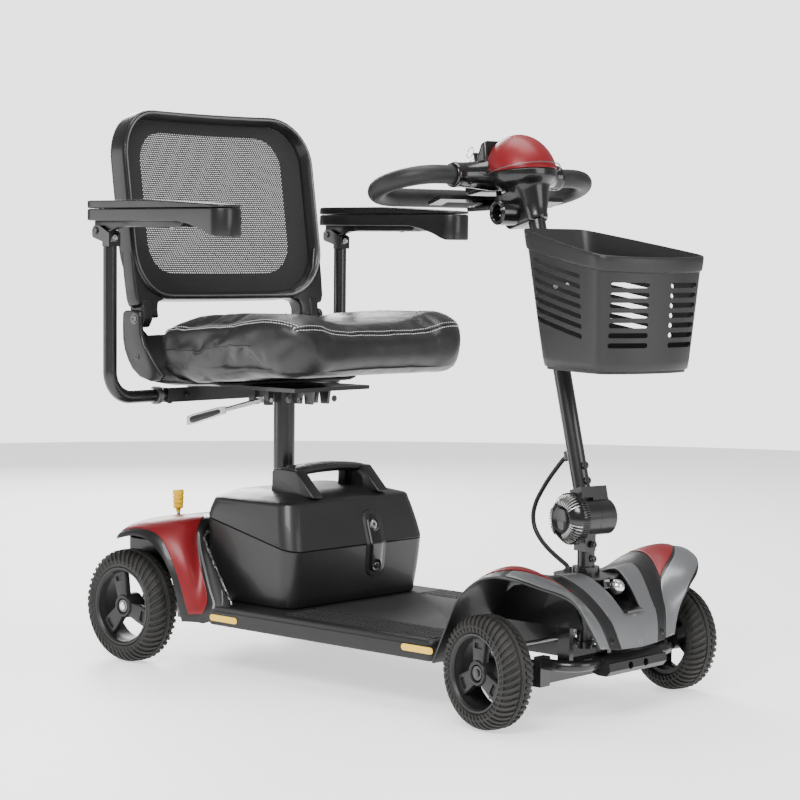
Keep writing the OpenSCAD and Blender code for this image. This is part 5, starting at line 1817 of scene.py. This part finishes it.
bm = bmesh.new()
bm.from_mesh(border.data)
first = len(bm.faces)
bm.from_mesh(window.data)
bm.faces.ensure_lookup_table()
for f in bm.faces[first:]:
    f.material_index = 1
bmesh.ops.remove_doubles(bm, verts=bm.verts, dist=0.00002)
bmesh.ops.recalc_face_normals(bm, faces=bm.faces)
if sum(f.normal.x * f.calc_area() for f in bm.faces) < 0:
    bmesh.ops.reverse_faces(bm, faces=bm.faces)
bm.to_mesh(border.data)
bm.free()
border.data.materials.append(finishes["meshOpen"])
border.name = "backNet"
bpy.data.objects.remove(window)
netWidth, netHeight = 2 * (backSet["half"] - backSet["inset"]) * mm + 0.0024, (backSet["top"]
        - backSet["low"] - 2 * backSet["inset"]) * mm
done(border, "backrest", "mesh_fabric", "back_mesh")
netWidth + 0.001
netHeight + 0.001
print("stage: backrest")

# armrests
armSet = dict(y=289, half=31, rear=-452, front=-98)
for sideName, s in bothSides:
    plan = roundedRect(armSet["rear"] + 0.6, armSet["front"] - 0.6, armSet["half"] - 0.5, 27, 10)
    column = lambda: loft("armPlan",
                          [[at(x, s * armSet["y"] + y, z) for x, y in plan] for z in (700, 830)],
                          "padVinyl", smooth=False)
    pad = sidePrism(f"armPad_{sideName}",
                    [(-460, 798.4), (-460, 812), (-275, 811.8), (-180, 807.2), (-120, 804), (-90, 803),
                     (-90, 798.4)],
                    s * armSet["y"] - 40, s * armSet["y"] + 40, "padVinyl")
    cut(pad, column(), "INTERSECT")
    pad = smoothByAngle(soften(pad, 4.6, 4, 30), 50)
    done(pad, f"armrest_{sideName}", "vinyl", f"armrest_{sideName}")
    outline = [(-460, 797.4), (-460, 777.2), (-207, 776), (-180, 771), (-150, 762.6), (-130, 754),
               (-118, 750.6), (-90, 750.2), (-90, 797.4)]
    cover = sidePrism("armShell", outline, s * armSet["y"] - 40, s * armSet["y"] + 40, "coverBlack")
    cut(cover, column(), "INTERSECT")
    cover = soften(cover, 2.6, 3, 30)
    under = soften(sidePrism("armUnder",
                             [(-443, 762), (-438, 754), (-428, 754), (-380, 766), (-207, 766), (-198, 778),
                              (-443, 778)],
                             s * armSet["y"] - 7.4, s * armSet["y"] + 7.4, "coverBlack"), 1.6, 2, 30)
    panel = soften(sidePrism("armPanel", [(-350, 766.8), (-207, 766.8), (-196, 778), (-356, 778)],
                             s * armSet["y"] - 22, s * armSet["y"] + 22, "coverBlack"), 2.2, 2, 30)
    armShell = smoothByAngle(join(f"armShell_{sideName}", [cover, under, panel]), 40)
    done(armShell, f"armrest_{sideName}", "cover_black")
    for e in (-1, 1):
        boltHead(f"armBolt_{sideName}_{'in' if e * s < 0 else 'out'}", f"arm_post_{sideName}",
                 at(-433, s * armSet["y"] + e * 13, 760), (0, e, 0), 6.0, 3.4, "powderBlack")
    boltHead(f"armStop_{sideName}", f"arm_post_{sideName}", at(-398, s * armSet["y"], 748), (1, 0, -0.2),
             3.6, 5.0, "zinc", "zinc")
    boltHead(f"armScrew_{sideName}", f"armrest_{sideName}", at(-250, s * armSet["y"], 766.6), (0, 0, -1),
             3.6, 2.4, "zinc", "zinc")
print("stage: armrests")

# seat hardware and levers
gripPath = [at(-297 - 49 * t, -124 - 36 * t, 447.5 - 19.5 * t)
            for t in (0, 0.05, 0.12, 0.5, 0.88, 0.96, 1.0)]
gripRadius = [5.4, 6.6, 7.4, 8.4, 9.0, 8.6, 7.0]
gripRings = []
for i, c in enumerate(gripPath):
    t = (gripPath[-1] - gripPath[0]).normalized()
    side = t.cross(Vector((0, 0, 1))).normalized()
    up = side.cross(t)
    gripRings.append([c + (side * math.copysign(abs(math.cos(a)) ** 0.6, math.cos(a)) * gripRadius[i] * 1.2
                           + up * math.copysign(abs(math.sin(a)) ** 0.6,
                                   math.sin(a)) * gripRadius[i] * 0.98) * mm
                                   for a in (2 * math.pi * m / 24 for m in range(24))])
done(smoothByAngle(loft("swivelGrip", gripRings, "framePlastic"), 40), "swivel_lever", "cover_black")
for kk, (x, y, z, d) in enumerate(((-216, -44, 466, (0, -1, 0)), (-188, -44, 466, (0, -1, 0)),
                                   (-216, 44, 466, (0, 1, 0)), (-188, 44, 466, (0, 1, 0)),
                                   (-410, -150, 457, (0, 0, -1)), (-410, 150, 457, (0, 0, -1)),
                                   (-396.6, -120, 470, (1, 0, 0)), (-396.6, 120, 470, (1, 0, 0)))):
    boltHead(f"seatBolt_{kk}", "seat", at(x, y, z), d, 4.4, 3.0, "castMetal" if kk < 4 else "powderBlack",
             "zinc")
for sideName, s in bothSides:
    collar = spin(f"armCollar_{sideName}",
                  [(12.3, 176), (15.6, 176), (16.2, 177), (16.2, 186), (15.6, 187), (12.3, 187)],
                  lambda x, y, z: at(-410 + x, s * y, 470 + z), "castMetal", 40, 1, True)
    done(tidyNormals(collar), "seat", "frame_black")

leverProfile = [(0, 302)] + [(r0, z0) for r0,
                             z0 in ((6.5, 302), (8.8, 300.8), (9.8, 298), (9.9, 293), (8.9, 291.6),
                                    (8.9, 290), (9.8, 288.6), (9.8, 285.4), (8.7, 284), (8.7, 282.4),
                (9.5, 281), (9.5, 277.6), (8.4, 276.2), (8.4, 274.6), (9.0, 273.2), (9.0, 270),
                (7.6, 268))] + [(4.4, 267.2), (4.4, 262), (0, 262)]
shift = spin("freewheelGrip", leverProfile, lambda x, y, z: at(-386 + x, -150 + y, z), "leverYellow", 40, 2)
tidyNormals(shift)
shaft = spin("freewheelShaft", [(0, 264), (3.4, 264), (3.4, 228), (0, 228)], lambda x, y,
             z: at(-386 + x, -150 + y, z), "ballChrome", 24, 2)
done(shift, "freewheel", "lever_yellow", "freewheel_lever")
done(tidyNormals(shaft), "freewheel", "lever_yellow")
gate = soften(mmBox("gatePlate", (-419, -161, 246), (-375, -139, 250), "glossBlack"), 1.4, 2)
gateSlot = soften(mmBox("gateSlot", (-415, -156, 236), (-379, -144, 262), "glossBlack"), 2, 2)
cut(gate, gateSlot)
done(smoothByAngle(gate, 40), "root", "cover_black")
print("stage: levers")

# floor
floorFinish = Finish("floor", Roughness=0.55, Emission_Strength=1.0)
grey = floorFinish.grain(2.0, 2)
floorFinish.feed("Base Color", floorFinish.blendColor(grey, tone(0.90), tone(0.93)))
floorFinish.feed("Emission Color", floorFinish.blendColor(grey, tone(0.97), tone(1.0)))
finishes["floor"] = floorFinish.material
floorSet = dict(radius=4.8, sides=96)
floorRim = [2 * math.pi * i / floorSet["sides"] for i in range(floorSet["sides"])]
floor = makePiece("floor", [(floorSet["radius"] * math.cos(a), floorSet["radius"] * math.sin(a), 0)
                            for a in floorRim],
                  [tuple(range(floorSet["sides"]))], "floor", False)
